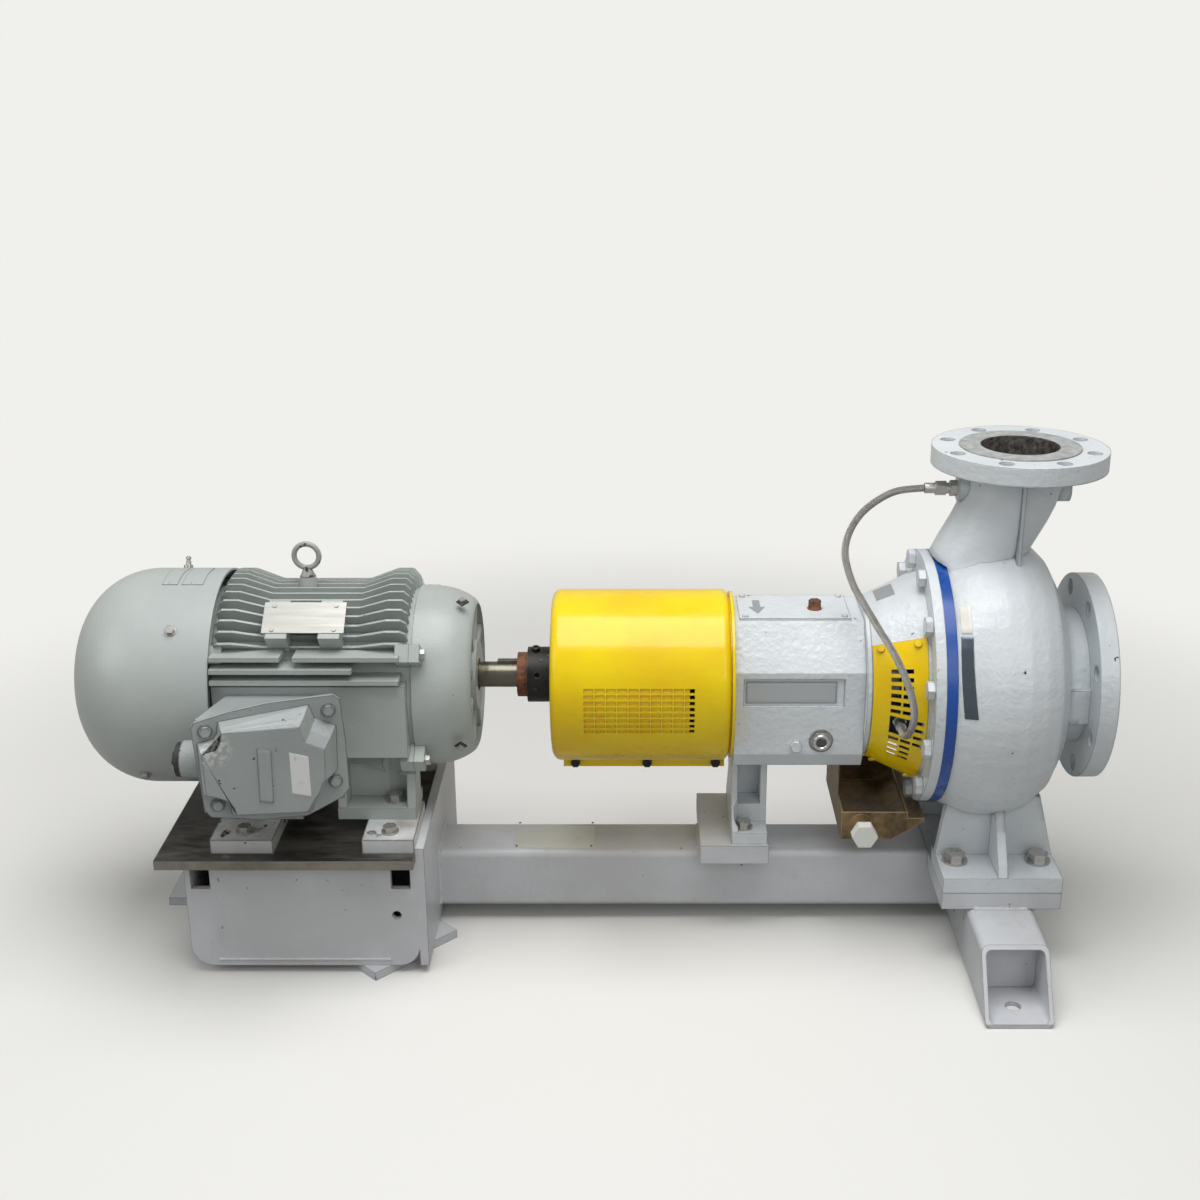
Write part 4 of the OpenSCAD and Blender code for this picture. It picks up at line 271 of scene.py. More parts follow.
def connect(tree, shader, **sockets):
    """Links values that change over the surface to the shader."""
    for key, value in sockets.items():
        tree.links.new(value, shader.inputs[key.replace("_", " ")])


def finish_with(material, *pieces):
    """Gives the material to CAD nodes, by name, and to new pieces."""
    for piece in pieces:
        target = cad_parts[piece] if isinstance(piece, str) else piece
        if not target.data.materials:
            target.data.materials.append(material)
        for index in range(len(target.data.materials)):
            target.data.materials[index] = material


# The braid's own map gives the crossing wires: u runs round the hose and v along it, and the wires
# are the crests of two waves, one for each way of winding, with these turns in radians
braid_turn_u, braid_turn_v = 302.0, 3100.0
braid_bright, braid_tarnish = (0.52, 0.51, 0.48, 1), (0.33, 0.30, 0.25, 1)
braid_gap = (0.10, 0.095, 0.085, 1)
braid, tree, shader, _ = new_finish("stainless wire braid", Metallic=0.9)
uv = put(tree, "ShaderNodeUVMap", uv_map="place").outputs[0]
across = put(tree, "ShaderNodeSeparateXYZ", {0: uv}).outputs
wound_u = work(tree, "MULTIPLY", across[0], braid_turn_u)
wound_v = work(tree, "MULTIPLY", across[1], braid_turn_v)
wires = work(tree, "MAXIMUM", *(work(tree, "SINE", work(tree, sense, wound_u, wound_v))
                                for sense in ("ADD", "SUBTRACT")))
tarnish = use(tree, blotch_group, Grain=60.0, Cover=0.45, Softness=0.2)
steel = blend(tree, tarnish, braid_bright, braid_tarnish)
connect(tree, shader, Base_Color=blend(tree, step(tree, wires, -0.6, 0.5), braid_gap, steel),
        Roughness=step(tree, wires, -1.0, 1.0, 0.5, 0.3),
        Normal=use(tree, skin_group, Height=wires, Depth=0.00025, Rounding=0.0001))
finish_with(braid, hose)
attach(hose, "pump_set")
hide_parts("flush_hose")


# Base frame
# Square steel tube, bent plate and flat lugs, welded together and brushed with white enamel, which
# is chipped at the edges, scuffed by lifting and greyed by shop dust.
def enamel(name, paint, shade, bare, grime, roughness, chips, chip_grain=70.0, wear=0.0022,
           break_up=0.75, dirt=0.25, dust=0.25, rounding=0.0012, depth=0.0003, skin_grain=260.0,
           metal_bare=0.0):
    """Paint over metal. Colour: the paint drifts towards its shade in broad noise, takes grime in
    patches that run down it and dust on top, and gives way to the bare colour where an edge is
    worn or a chip is out. Roughness rises with grime, and the skin is a fine noise."""
    material, tree, shader, place = new_finish(name, Coat_Weight=0.12, Coat_Roughness=0.25)
    drift = step(tree, noise(tree, place, 5.0, 5.0, 0.6), 0.32, 0.68)
    colour = blend(tree, drift, paint, shade)
    runs = use(tree, blotch_group, Grain=17.0, Cover=dirt, Softness=0.3, Stretch=(1.0, 1.0, 0.35))
    colour = blend(tree, work(tree, "MULTIPLY", runs, 0.55), colour, grime)
    settled = use(tree, dust_group, Grain=14.0, Amount=dust)
    colour = blend(tree, settled, colour, grime)
    chipped = use(tree, blotch_group, Grain=chip_grain, Cover=chips, Softness=0.012)
    worn = use(tree, edge_group, Width=wear, Break_up=break_up, Grain=110.0)
    gone = work(tree, "MAXIMUM", chipped, worn)
    colour = blend(tree, gone, colour, bare)
    fine = noise(tree, place, skin_grain, 3.0, 0.5)
    height = work(tree, "SUBTRACT", fine, work(tree, "MULTIPLY", gone, 0.8))
    dull = work(tree, "MULTIPLY_ADD", work(tree, "MAXIMUM", runs, settled), 0.28, roughness)
    connect(tree, shader, Base_Color=colour,
            Roughness=work(tree, "MULTIPLY_ADD", gone, 0.2, dull),
            Metallic=work(tree, "MULTIPLY", gone, metal_bare),
            Normal=use(tree, skin_group, Height=height, Depth=depth, Rounding=rounding))
    return material


base_white = enamel("brushed white base enamel", paint=(0.66, 0.68, 0.72, 1),
                    shade=(0.55, 0.56, 0.58, 1), bare=(0.17, 0.13, 0.10, 1),
                    grime=(0.30, 0.27, 0.22, 1), roughness=0.38, chips=0.05, dirt=0.26,
                    dust=0.12, depth=0.0005, skin_grain=150.0)
finish_with(base_white, "base_beam", "pump_leg", "sole_plate", "bearing_pad", "motor_pedestal",
            "anchor_lugs")


def weld_bead(name, route, radius):
    """A weld laid along straight runs: a round bead whose radius swells with the size of a sine
    every 3.4 mm, like overlapping scales, and wanders a little with two slower sines. Its ends
    are drawn in to a point."""
    route = np.array(route, float)
    spans = np.linalg.norm(np.diff(route, axis=0), axis=1)
    run = np.concatenate([[0], np.cumsum(spans)])
    s = np.linspace(0, run[-1], int(run[-1] / 0.0009))
    line = np.stack([np.interp(s, run, route[:, i]) for i in range(3)], axis=1)
    side, up = frames_along(line)
    a = np.linspace(0, 2 * np.pi, 12, endpoint=False)[None, :]
    scale = np.abs(np.sin(np.pi * s / weld_scale_l))[:, None]
    wander = 0.12 * np.sin(s * 410.0)[:, None] + 0.08 * np.sin(s * 173.0 + 1.0)[:, None]
    r = radius * (0.86 + 0.2 * scale + wander)
    r[[0, -1]] = radius * 0.05
    points = line[:, None, :] + r[..., None] * (np.cos(a)[..., None] * side[:, None, :]
                                                + np.sin(a)[..., None] * up[:, None, :])
    bead = grid_piece(name, points, closed_u=True)
    finish_with(base_white, bead)
    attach(bead, "pump_set")


weld_scale_l = 0.0034
frame_weld_r, pad_weld_r, seam_weld_r = 0.0034, 0.003, 0.0022
run_in = 0.008
beam_low, beam_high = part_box("base_beam")
pad_low, pad_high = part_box("bearing_pad")
sole_low, sole_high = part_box("sole_plate")
leg_low, leg_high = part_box("pump_leg")
ped_low, ped_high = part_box("motor_pedestal")
y_beam, z_top = beam_high.y, beam_high.z
weld_bead("weld_beam_to_pedestal", [
    (beam_low.x, y_beam, beam_low.z + 0.004), (beam_low.x, y_beam, z_top),
    (beam_low.x, -y_beam, z_top), (beam_low.x, -y_beam, beam_low.z + 0.004)], frame_weld_r)
weld_bead("weld_pad_front", [(pad_low.x + 0.004, -y_beam - 0.001, z_top - 0.001),
          (pad_high.x - 0.004, -y_beam - 0.001, z_top - 0.001)], pad_weld_r)
for side, x in (("left", pad_low.x), ("right", pad_high.x)):
    weld_bead(f"weld_pad_{side}", [(x, -y_beam + run_in, z_top), (x, y_beam - run_in, z_top)],
              pad_weld_r)
for side, y in (("front", sole_low.y), ("back", sole_high.y)):
    weld_bead(f"weld_sole_to_leg_{side}", [(leg_low.x + run_in, y, leg_high.z),
              (leg_high.x - run_in, y, leg_high.z)], frame_weld_r)
weld_bead("weld_sole_to_leg_right", [(leg_high.x, sole_low.y + 0.004, leg_high.z - 0.003),
          (leg_high.x, sole_high.y - 0.004, leg_high.z - 0.003)], pad_weld_r)
seam_y, seam_z = ped_low.y + 0.0005, 0.0215
weld_bead("weld_pedestal_seam_front", [(ped_low.x + 0.035, seam_y, seam_z),
          (ped_high.x - 0.05, seam_y, seam_z)], seam_weld_r)


# Motor plate
# A flame-cut steel plate left bare on the pedestal. Its top is dark with oil and brushed smears,
# and its cut edge is paler, with a little rust.
oil_black, smeared_oil = (0.025, 0.024, 0.022, 1), (0.13, 0.12, 0.105, 1)
wiped_steel, plate_rust = (0.34, 0.32, 0.29, 1), (0.15, 0.065, 0.03, 1)
edge_pale, edge_dark = (0.30, 0.28, 0.25, 1), (0.16, 0.14, 0.12, 1)
plate_steel, tree, shader, place = new_finish("oily bare plate", Metallic=0.35)
smear = noise(tree, place, 9.0, 7.0, 0.7, stretch=(1.0, 3.6, 1.0))
dark = blend(tree, step(tree, smear, 0.35, 0.62), oil_black, smeared_oil)
patch = use(tree, blotch_group, Grain=13.0, Cover=0.16, Softness=0.12)
dark = blend(tree, work(tree, "MULTIPLY", patch, 0.7), dark, wiped_steel)
rust = use(tree, blotch_group, Grain=34.0, Cover=0.12, Softness=0.1)
dark = blend(tree, work(tree, "MULTIPLY", rust, 0.6), dark, plate_rust)
facing = put(tree, "ShaderNodeSeparateXYZ",
             {0: put(tree, "ShaderNodeNewGeometry").outputs["Normal"]}).outputs[2]
flank = step(tree, facing, 0.5, 0.2)
pale = blend(tree, step(tree, smear, 0.3, 0.7), edge_pale, edge_dark)
colour = blend(tree, flank, dark, pale)
scratch = noise(tree, place, 60.0, 3.0, 0.6, stretch=(1.0, 14.0, 1.0))
connect(tree, shader, Base_Color=colour, Roughness=step(tree, smear, 0.3, 0.7, 0.32, 0.6),
        Normal=use(tree, skin_group, Height=scratch, Depth=0.0003, Rounding=0.001))
finish_with(plate_steel, "motor_plate")

# Motor pads
# Four steel blocks under the feet, white like the base, but scraped, spotted with brown primer
# and blackened where tools and oily hands have been.
pad_white = enamel("scraped pad enamel", paint=(0.68, 0.70, 0.71, 1),
                   shade=(0.52, 0.52, 0.51, 1), bare=(0.055, 0.045, 0.04, 1),
                   grime=(0.20, 0.15, 0.10, 1), roughness=0.42, chips=0.16, chip_grain=42.0,
                   wear=0.004, break_up=0.5, dirt=0.45, dust=0.5)
finish_with(pad_white, "motor_pads")

# Bolts
# Zinc-plated hexagon bolts and washers, screwed into the frame and the bells. They are grey with
# age, darker in patches and rubbed paler along their edges.
zinc_clean, zinc_dull = (0.46, 0.455, 0.43, 1), (0.20, 0.19, 0.165, 1)
zinc_rubbed = (0.40, 0.39, 0.37, 1)
zinc, tree, shader, place = new_finish("aged zinc plating", Metallic=0.7)
bloom = use(tree, blotch_group, Grain=90.0, Cover=0.35, Softness=0.2)
colour = blend(tree, bloom, zinc_clean, zinc_dull)
worn = use(tree, edge_group, Width=0.0015, Break_up=0.5, Grain=160.0)
colour = blend(tree, worn, colour, zinc_rubbed)
connect(tree, shader, Base_Color=colour, Roughness=step(tree, bloom, 0.0, 1.0, 0.26, 0.5),
        Normal=use(tree, skin_group, Height=noise(tree, place, 400.0), Depth=0.0001,
                   Rounding=0.0006))
finish_with(zinc, "base_bolts", "bell_screws", "sight_glass", "impeller_nut")


# Motor housing
# Cast iron frame with tall radial fins, end bells and a deep-drawn steel fan cover, all in one
# satin grey enamel, with dust between the fins and dark chips where it has been knocked.
satin_grey = (0.46, 0.50, 0.48, 1)
motor_grey = enamel("satin grey motor enamel", paint=satin_grey, shade=(0.40, 0.435, 0.42, 1),
                    bare=(0.06, 0.055, 0.05, 1), grime=(0.24, 0.235, 0.20, 1), roughness=0.36,
                    chips=0.02, chip_grain=85.0, wear=0.0014, break_up=0.9, dirt=0.3, dust=0.12,
                    rounding=0.0016, depth=0.0005, skin_grain=320.0)
finish_with(motor_grey, "motor_frame", "drive_end_bell", "rear_bell")
cover_grey = enamel("fan cover enamel", paint=satin_grey, shade=(0.42, 0.455, 0.445, 1),
                    bare=(0.10, 0.095, 0.09, 1), grime=(0.30, 0.31, 0.29, 1), roughness=0.33,
                    chips=0.008, chip_grain=60.0, wear=0.001, break_up=0.95, dirt=0.2, dust=0.1,
                    rounding=0.002, depth=0.0001, skin_grain=500.0)
finish_with(cover_grey, "fan_cover")


def turned(name, profile, centre, axis, material, body="pump_set", steps=48):
    """A surface of revolution: the profile's points, as pairs of distance along the axis and
    radius, are carried round the axis through the centre."""
    profile = np.array(profile, float)
    axis = np.array(axis, float) / np.linalg.norm(axis)
    lead = np.array([0.0, 0.0, 1.0]) if abs(axis[2]) < 0.9 else np.array([1.0, 0.0, 0.0])
    side = np.cross(axis, lead)
    side /= np.linalg.norm(side)
    up = np.cross(axis, side)
    a = np.linspace(0, 2 * np.pi, steps, endpoint=False)[None, :]
    points = (np.array(centre) + profile[:, 0, None, None] * axis
              + profile[:, 1, None, None] * (np.cos(a)[..., None] * side
                                             + np.sin(a)[..., None] * up))
    piece = grid_piece(name, points, closed_u=True)
    piece.modifiers.new("crease", "EDGE_SPLIT").split_angle = math.radians(35)
    finish_with(material, piece)
    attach(piece, body)


# Grease nipple of the rear bearing
# A small turned steel stud with a ball end over a round shoulder. It is screwed through the top
# of the fan cover, a little behind its highest line.
shaft_z = 0.362
nipple_x, nipple_r = -1.102, 0.1458
nipple_a = math.radians(-20)
nipple_out = np.array([0, -math.sin(nipple_a), math.cos(nipple_a)])
nipple_at = np.array([nipple_x, 0, shaft_z]) + nipple_out * nipple_r
turned("grease_nipple", [(0, 0.0001), (0, 0.0062), (0.004, 0.0062), (0.0045, 0.0036),
       (0.009, 0.0036), (0.010, 0.0026), (0.0115, 0.0026), (0.0125, 0.0038), (0.0148, 0.0036),
       (0.0160, 0.002), (0.0162, 0.0001)], nipple_at, nipple_out, zinc, steps=24)

# Motor core
# Thin sheets of electrical steel, stacked along the shaft, with varnished copper windings laid in
# their slots. They are hardly seen, through the openings at the motor's ends.
core_dark, core_light = (0.13, 0.13, 0.14, 1), (0.24, 0.24, 0.25, 1)
core_steel, tree, shader, place = new_finish("stacked core steel", Metallic=0.6)
stack = put(tree, "ShaderNodeTexWave", {"Vector": place, "Scale": 160.0, "Distortion": 0.4},
            bands_direction="X").outputs[1]
connect(tree, shader, Base_Color=blend(tree, stack, core_dark, core_light),
        Roughness=step(tree, stack, 0.0, 1.0, 0.4, 0.6),
        Normal=use(tree, skin_group, Height=stack, Depth=0.0002, Rounding=0.0005))
finish_with(core_steel, "stator_core", "rotor_core")


def grained(name, dark, light, grain, smooth, rough, depth, rounding=0.0005, low=0.3, high=0.7,
            detail=3.0, coarse=0.5, stretch=None, **settings):
    """A finish of two shades mixed by one fine noise. As the noise rises from low to high, the
    roughness goes from smooth to rough, and the noise is the height of the skin too."""
    material, tree, shader, place = new_finish(name, **settings)
    speck = noise(tree, place, grain, detail, coarse, stretch=stretch)
    connect(tree, shader, Base_Color=blend(tree, speck, dark, light),
            Roughness=step(tree, speck, low, high, smooth, rough),
            Normal=use(tree, skin_group, Height=speck, Depth=depth, Rounding=rounding))
    return material


copper = grained("varnished copper wire", dark=(0.20, 0.06, 0.02, 1), light=(0.52, 0.22, 0.08, 1),
                 grain=300.0, smooth=0.25, rough=0.45, depth=0.0008, low=0.2, high=0.8,
                 stretch=(3.0, 1.0, 1.0), Metallic=0.5)
finish_with(copper, "stator_windings")


# Terminal box
# A cast box with a five-sided domed cover on the front of the motor. Its enamel is the same grey,
# scraped down to dark primer along the rims and corners.
box_grey = enamel("knocked terminal box enamel", paint=(0.37, 0.405, 0.40, 1),
                  shade=(0.32, 0.35, 0.35, 1), bare=(0.028, 0.028, 0.028, 1),
                  grime=(0.16, 0.16, 0.15, 1), roughness=0.36, chips=0.045, chip_grain=75.0,
                  wear=0.0030, break_up=0.76, dirt=0.3, dust=0.08, rounding=0.003, depth=0.0006,
                  skin_grain=260.0)

# A white scuff on the cover's front corner, thinning out from its middle
scuff_middle, scuff_core_r, scuff_r = (-1.0035, -0.263, 0.372), 0.010, 0.030
scuff_white = (0.62, 0.62, 0.60, 1)
tree = box_grey.node_tree
shader = tree.nodes["Principled BSDF"]
place = put(tree, "ShaderNodeTexCoord").outputs["Object"]
scuff_at = put(tree, "ShaderNodeVectorMath", {0: place, 1: scuff_middle}, operation="DISTANCE")
scuffed = work(tree, "MULTIPLY", step(tree, scuff_at.outputs["Value"], scuff_r, scuff_core_r),
               use(tree, blotch_group, Grain=130.0, Cover=0.52, Softness=0.03))
painted = shader.inputs["Base Color"].links[0].from_socket
connect(tree, shader, Base_Color=blend(tree, scuffed, painted, scuff_white))
finish_with(box_grey, "terminal_box", "terminal_cover", "terminal_screws")
black_plastic = grained("dark moulded plastic", dark=(0.020, 0.021, 0.022, 1),
                        light=(0.045, 0.047, 0.05, 1), grain=260.0, smooth=0.45, rough=0.6,
                        depth=0.0002, rounding=0.0012, detail=4.0, coarse=0.6,
                        Specular_IOR_Level=0.4)
finish_with(black_plastic, "conduit_plug", "cooling_fan")

# Lifting eye
# A forged steel eyebolt, screwed into the top of the frame. Its grey paint is rubbed off in
# patches by the hook, down to dark steel.
eye_steel = enamel("rubbed eyebolt paint", paint=(0.40, 0.41, 0.40, 1),
                   shade=(0.30, 0.30, 0.29, 1), bare=(0.055, 0.05, 0.045, 1),
                   grime=(0.16, 0.14, 0.11, 1), roughness=0.35, chips=0.22, chip_grain=110.0,
                   wear=0.003, break_up=0.5, dirt=0.35, dust=0.1, metal_bare=0.6)
finish_with(eye_steel, "eyebolt")

# Rating plate
# A blank stainless plate on two cast pads, held by four drive screws. It is brushed lengthways
# and a little stained.
brushed_light, brushed_dark = (0.44, 0.44, 0.41, 1), (0.36, 0.36, 0.34, 1)
plate_stain = (0.22, 0.20, 0.17, 1)
blank_plate, tree, shader, place = new_finish("brushed blank plate", Metallic=0.45)
brush = noise(tree, place, 220.0, 3.0, 0.6, stretch=(0.06, 1.0, 1.0))
stain = use(tree, blotch_group, Grain=30.0, Cover=0.2, Softness=0.25)
colour = blend(tree, brush, brushed_light, brushed_dark)
colour = blend(tree, work(tree, "MULTIPLY", stain, 0.5), colour, plate_stain)
connect(tree, shader, Base_Color=colour, Roughness=step(tree, brush, 0.2, 0.8, 0.3, 0.48),
        Normal=use(tree, skin_group, Height=brush, Depth=0.0001, Rounding=0.0005))
finish_with(blank_plate, "nameplate")


# Shafts and coupling
# Ground steel shafts with a film of old oil, a rusty bush, and a black-oxide spacer coupling with
# stainless disc packs, inside the guard.
ground_dark, ground_light = (0.11, 0.105, 0.08, 1), (0.20, 0.19, 0.15, 1)
old_oil = (0.06, 0.048, 0.022, 1)
shaft_steel, tree, shader, place = new_finish("oiled ground steel", Metallic=0.9)
ring_marks = noise(tree, place, 240.0, 4.0, 0.6, stretch=(3.0, 0.25, 0.25))
oil = use(tree, blotch_group, Grain=38.0, Cover=0.55, Softness=0.2)
colour = blend(tree, ring_marks, ground_dark, ground_light)
connect(tree, shader, Base_Color=blend(tree, oil, colour, old_oil),
        Roughness=step(tree, oil, 0.0, 1.0, 0.28, 0.42),
        Normal=use(tree, skin_group, Height=ring_marks, Depth=0.00015, Rounding=0.0008))
finish_with(shaft_steel, "motor_shaft", "shaft_key", "pump_shaft")

rust_dark, rust_orange = (0.085, 0.030, 0.016, 1), (0.26, 0.105, 0.05, 1)
rust_black = (0.035, 0.025, 0.02, 1)
rusty, tree, shader, place = new_finish("rusty iron", Metallic=0.15)
scale = noise(tree, place, 120.0, 6.0, 0.7)
colour = blend(tree, step(tree, scale, 0.35, 0.65), rust_dark, rust_orange)
dark = use(tree, blotch_group, Grain=50.0, Cover=0.35, Softness=0.15)
connect(tree, shader, Base_Color=blend(tree, dark, colour, rust_black),
        Roughness=step(tree, scale, 0.3, 0.7, 0.6, 0.85),
        Normal=use(tree, skin_group, Height=scale, Depth=0.0006, Rounding=0.0008))
finish_with(rusty, "hub_bush", "filler_plug")

oxide_black, oxide_grey = (0.012, 0.012, 0.013, 1), (0.035, 0.034, 0.033, 1)
bare_edge = (0.22, 0.21, 0.20, 1)
black_oxide, tree, shader, place = new_finish("black oxide steel", Metallic=0.55)
rubbed = use(tree, edge_group, Width=0.0014, Break_up=0.5, Grain=150.0)
film = noise(tree, place, 45.0, 5.0, 0.6)
colour = blend(tree, step(tree, film, 0.4, 0.7), oxide_black, oxide_grey)
connect(tree, shader, Base_Color=blend(tree, rubbed, colour, bare_edge),
        Roughness=step(tree, film, 0.3, 0.7, 0.34, 0.55),
        Normal=use(tree, skin_group, Height=film, Depth=0.0002, Rounding=0.0007))
finish_with(black_oxide, "motor_hub", "coupling_spacer", "pump_hub", "guard_screws")

bright_steel = grained("ground bearing steel", dark=(0.52, 0.52, 0.53, 1),
                       light=(0.64, 0.64, 0.65, 1), grain=300.0, smooth=0.2, rough=0.32,
                       depth=0.00005, Metallic=0.95)
finish_with(bright_steel, "motor_bearings", "motor_bearing_inners", "motor_disc_pack",
            "pump_disc_pack", "pump_bearings", "pump_bearing_inners")


# Coupling guard
# Rolled sheet drum and perforated sheets over the seal, powder coated in a glossy safety yellow,
# with faint handling marks and thin orange rub lines.
yellow, deep_yellow = (0.90, 0.665, 0.001, 1), (0.83, 0.55, 0.001, 1)
rub_orange, yellow_dust = (0.62, 0.27, 0.01, 1), (0.55, 0.47, 0.26, 1)
yellow_chip = (0.24, 0.19, 0.08, 1)
safety_yellow, tree, shader, place = new_finish(
    "glossy yellow powder coat", Coat_Weight=0.35, Coat_Roughness=0.06, Specular_IOR_Level=0.25)
drift = noise(tree, place, 7.0, 4.0, 0.55)
colour = blend(tree, step(tree, drift, 0.35, 0.65), yellow, deep_yellow)
rubs = noise(tree, place, 16.0, 6.0, 0.72, stretch=(0.5, 1.0, 2.6))
rubbed = work(tree, "MULTIPLY", step(tree, rubs, 0.63, 0.70), 0.45)
colour = blend(tree, rubbed, colour, rub_orange)
settled = use(tree, dust_group, Grain=26.0, Amount=0.04)
colour = blend(tree, settled, colour, yellow_dust)
chipped = use(tree, edge_group, Width=0.0012, Break_up=0.9, Grain=140.0)
colour = blend(tree, chipped, colour, yellow_chip)
peel = noise(tree, place, 420.0, 2.0, 0.5)
connect(tree, shader, Base_Color=colour, Roughness=step(tree, rubs, 0.3, 0.75, 0.22, 0.42),
        Normal=use(tree, skin_group, Height=peel, Depth=0.0001, Rounding=0.0008))
finish_with(safety_yellow, "coupling_guard", "guard_plate", "seal_guard")


# Bearing housing and casing
# Thick white enamel over sand castings: the skin keeps the fine lumps of the sand, and flange
# rims and corners are chipped down to dark iron.
pump_paint = dict(paint=(0.69, 0.735, 0.765, 1), shade=(0.62, 0.66, 0.69, 1),
                  bare=(0.05, 0.045, 0.04, 1), grime=(0.36, 0.34, 0.29, 1), roughness=0.3)
pump_white = enamel("thick white pump enamel", **pump_paint, chips=0.008, chip_grain=60.0,
                    wear=0.0016, break_up=0.96, dirt=0.14, dust=0.1, rounding=0.0028,
                    depth=0.0015, skin_grain=120.0)
finish_with(pump_white, "bearing_housing", "top_cover", "support_foot", "adapter", "casing_bolts")

# The casing has the same enamel outside. Its gasket faces are machined, and its passages are bare
# iron, darkened to near-black as painted shade inside them.
casing_finish = enamel("casing enamel and machined faces", **pump_paint, chips=0.03,
                       chip_grain=80.0, wear=0.0015, break_up=0.92, dirt=0.16, dust=0.12,
                       rounding=0.016, depth=0.0011, skin_grain=125.0)
neck_x, discharge_face_z, discharge_gasket_r, discharge_bore_r = 0.0135, 0.6836, 0.0795, 0.0512
suction_face_x, suction_gasket_r, suction_bore_r = 0.1356, 0.1085, 0.0767
neck_bare_z, suction_bare_x = 0.645, -0.03
wet_r, wet_back_x, wet_front_x = 0.155, -0.079, 0.055
flange_under_z, flange_back_x, feet_top_z = 0.652, 0.098, 0.185
gasket_pale, gasket_dark = (0.42, 0.44, 0.43, 1), (0.26, 0.26, 0.25, 1)
passage_shade_black, passage_brown = (0.018, 0.017, 0.016, 1), (0.16, 0.14, 0.12, 1)


def past(tree, value, limit):
    """1 where the value is over the limit, else 0."""
    return work(tree, "GREATER_THAN", value, limit)


def within(tree, value, limit):
    """1 where the value is under the limit, else 0."""
    return work(tree, "LESS_THAN", value, limit)


def all_of(tree, first, *others):
    """The product of the masks."""
    for mask in others:
        first = work(tree, "MULTIPLY", first, mask)
    return first


def any_of(tree, first, *others):
    """The largest of the masks."""
    for mask in others:
        first = work(tree, "MAXIMUM", first, mask)
    return first


def reach(tree, one, other):
    """The root of the sum of the two squares."""
    return work(tree, "SQRT", work(tree, "ADD", work(tree, "MULTIPLY", one, one),
                                   work(tree, "MULTIPLY", other, other)))


tree = casing_finish.node_tree
shader = tree.nodes["Principled BSDF"]
place = put(tree, "ShaderNodeTexCoord").outputs["Object"]
along, across, up = put(tree, "ShaderNodeSeparateXYZ", {0: place}).outputs
neck_out = reach(tree, work(tree, "SUBTRACT", along, neck_x), across)
shaft_out = reach(tree, across, work(tree, "SUBTRACT", up, shaft_z))
machined = any_of(
    tree,
    all_of(tree, past(tree, up, discharge_face_z), within(tree, neck_out, discharge_gasket_r)),
    all_of(tree, past(tree, along, suction_face_x), within(tree, shaft_out, suction_gasket_r)))
inside = any_of(
    tree,
    all_of(tree, within(tree, neck_out, discharge_bore_r), past(tree, up, neck_bare_z)),
    all_of(tree, within(tree, shaft_out, suction_bore_r), past(tree, along, suction_bare_x)),
    all_of(tree, within(tree, shaft_out, wet_r), past(tree, along, wet_back_x),
           within(tree, along, wet_front_x)))
painted = shader.inputs["Base Color"].links[0].from_socket
gasket_wear = noise(tree, place, 70.0, 5.0, 0.65)
iron_face = blend(tree, step(tree, gasket_wear, 0.3, 0.7), gasket_pale, gasket_dark)
# Inside the bores and the wet chamber the bare iron is painted near-black, brown in patches, as
# the shade in them
passage = noise(tree, place, 130.0, 6.0, 0.7)
bare_iron_and_shade = blend(tree, step(tree, passage, 0.35, 0.7), passage_shade_black, passage_brown)
colour = blend(tree, machined, painted, iron_face)
colour = blend(tree, inside, colour, bare_iron_and_shade)
dull = shader.inputs["Roughness"].links[0].from_socket
connect(tree, shader, Base_Color=colour, Roughness=work(
    tree, "MULTIPLY_ADD", any_of(tree, machined, inside), 0.25, dull))

# The sand casting's broad skin is rounded off widely, over 16 mm, and the turned flanges and the
# feet only at their edges, over 3.5 mm
sharp = any_of(tree, past(tree, up, flange_under_z), past(tree, along, flange_back_x),
               within(tree, up, feet_top_z))
for node in tree.nodes:
    if node.type == "GROUP" and node.node_tree == skin_group:
        tree.links.new(work(tree, "MULTIPLY_ADD", sharp, -0.0125, 0.016), node.inputs["Rounding"])
finish_with(casing_finish, "volute_casing")

# The impeller is cast iron, stained by the water
stained_dark, stained_light = (0.16, 0.14, 0.10, 1), (0.32, 0.29, 0.22, 1)
impeller_iron, tree, shader, place = new_finish("water-stained impeller iron", Metallic=0.5)
stain = noise(tree, place, 30.0, 6.0, 0.65)
connect(tree, shader, Base_Color=blend(tree, stain, stained_dark, stained_light),
        Roughness=step(tree, stain, 0.3, 0.7, 0.45, 0.65),
        Normal=use(tree, skin_group, Height=noise(tree, place, 200.0), Depth=0.0004,
                   Rounding=0.001))
finish_with(impeller_iron, "impeller")

# Casing cover band
# The rim of the cast cover that closes the casing, clamped between the adapter's flange and the
# casing's by a ring of bolts. It is painted a deep glossy blue, with a few white specks.
blue_dark, blue_light = (0.001, 0.052, 0.29, 1), (0.002, 0.078, 0.38, 1)
white_speck = (0.55, 0.58, 0.62, 1)
band_blue, tree, shader, place = new_finish("deep blue enamel", Coat_Weight=0.25,
                                            Coat_Roughness=0.15)
drift = noise(tree, place, 20.0, 4.0, 0.6)
colour = blend(tree, drift, blue_dark, blue_light)
chipped = use(tree, blotch_group, Grain=120.0, Cover=0.02, Softness=0.02)
connect(tree, shader, Base_Color=blend(tree, chipped, colour, white_speck),
        Roughness=step(tree, drift, 0.3, 0.7, 0.24, 0.36),
        Normal=use(tree, skin_group, Height=drift, Depth=0.0003, Rounding=0.001))
finish_with(band_blue, "casing_cover")

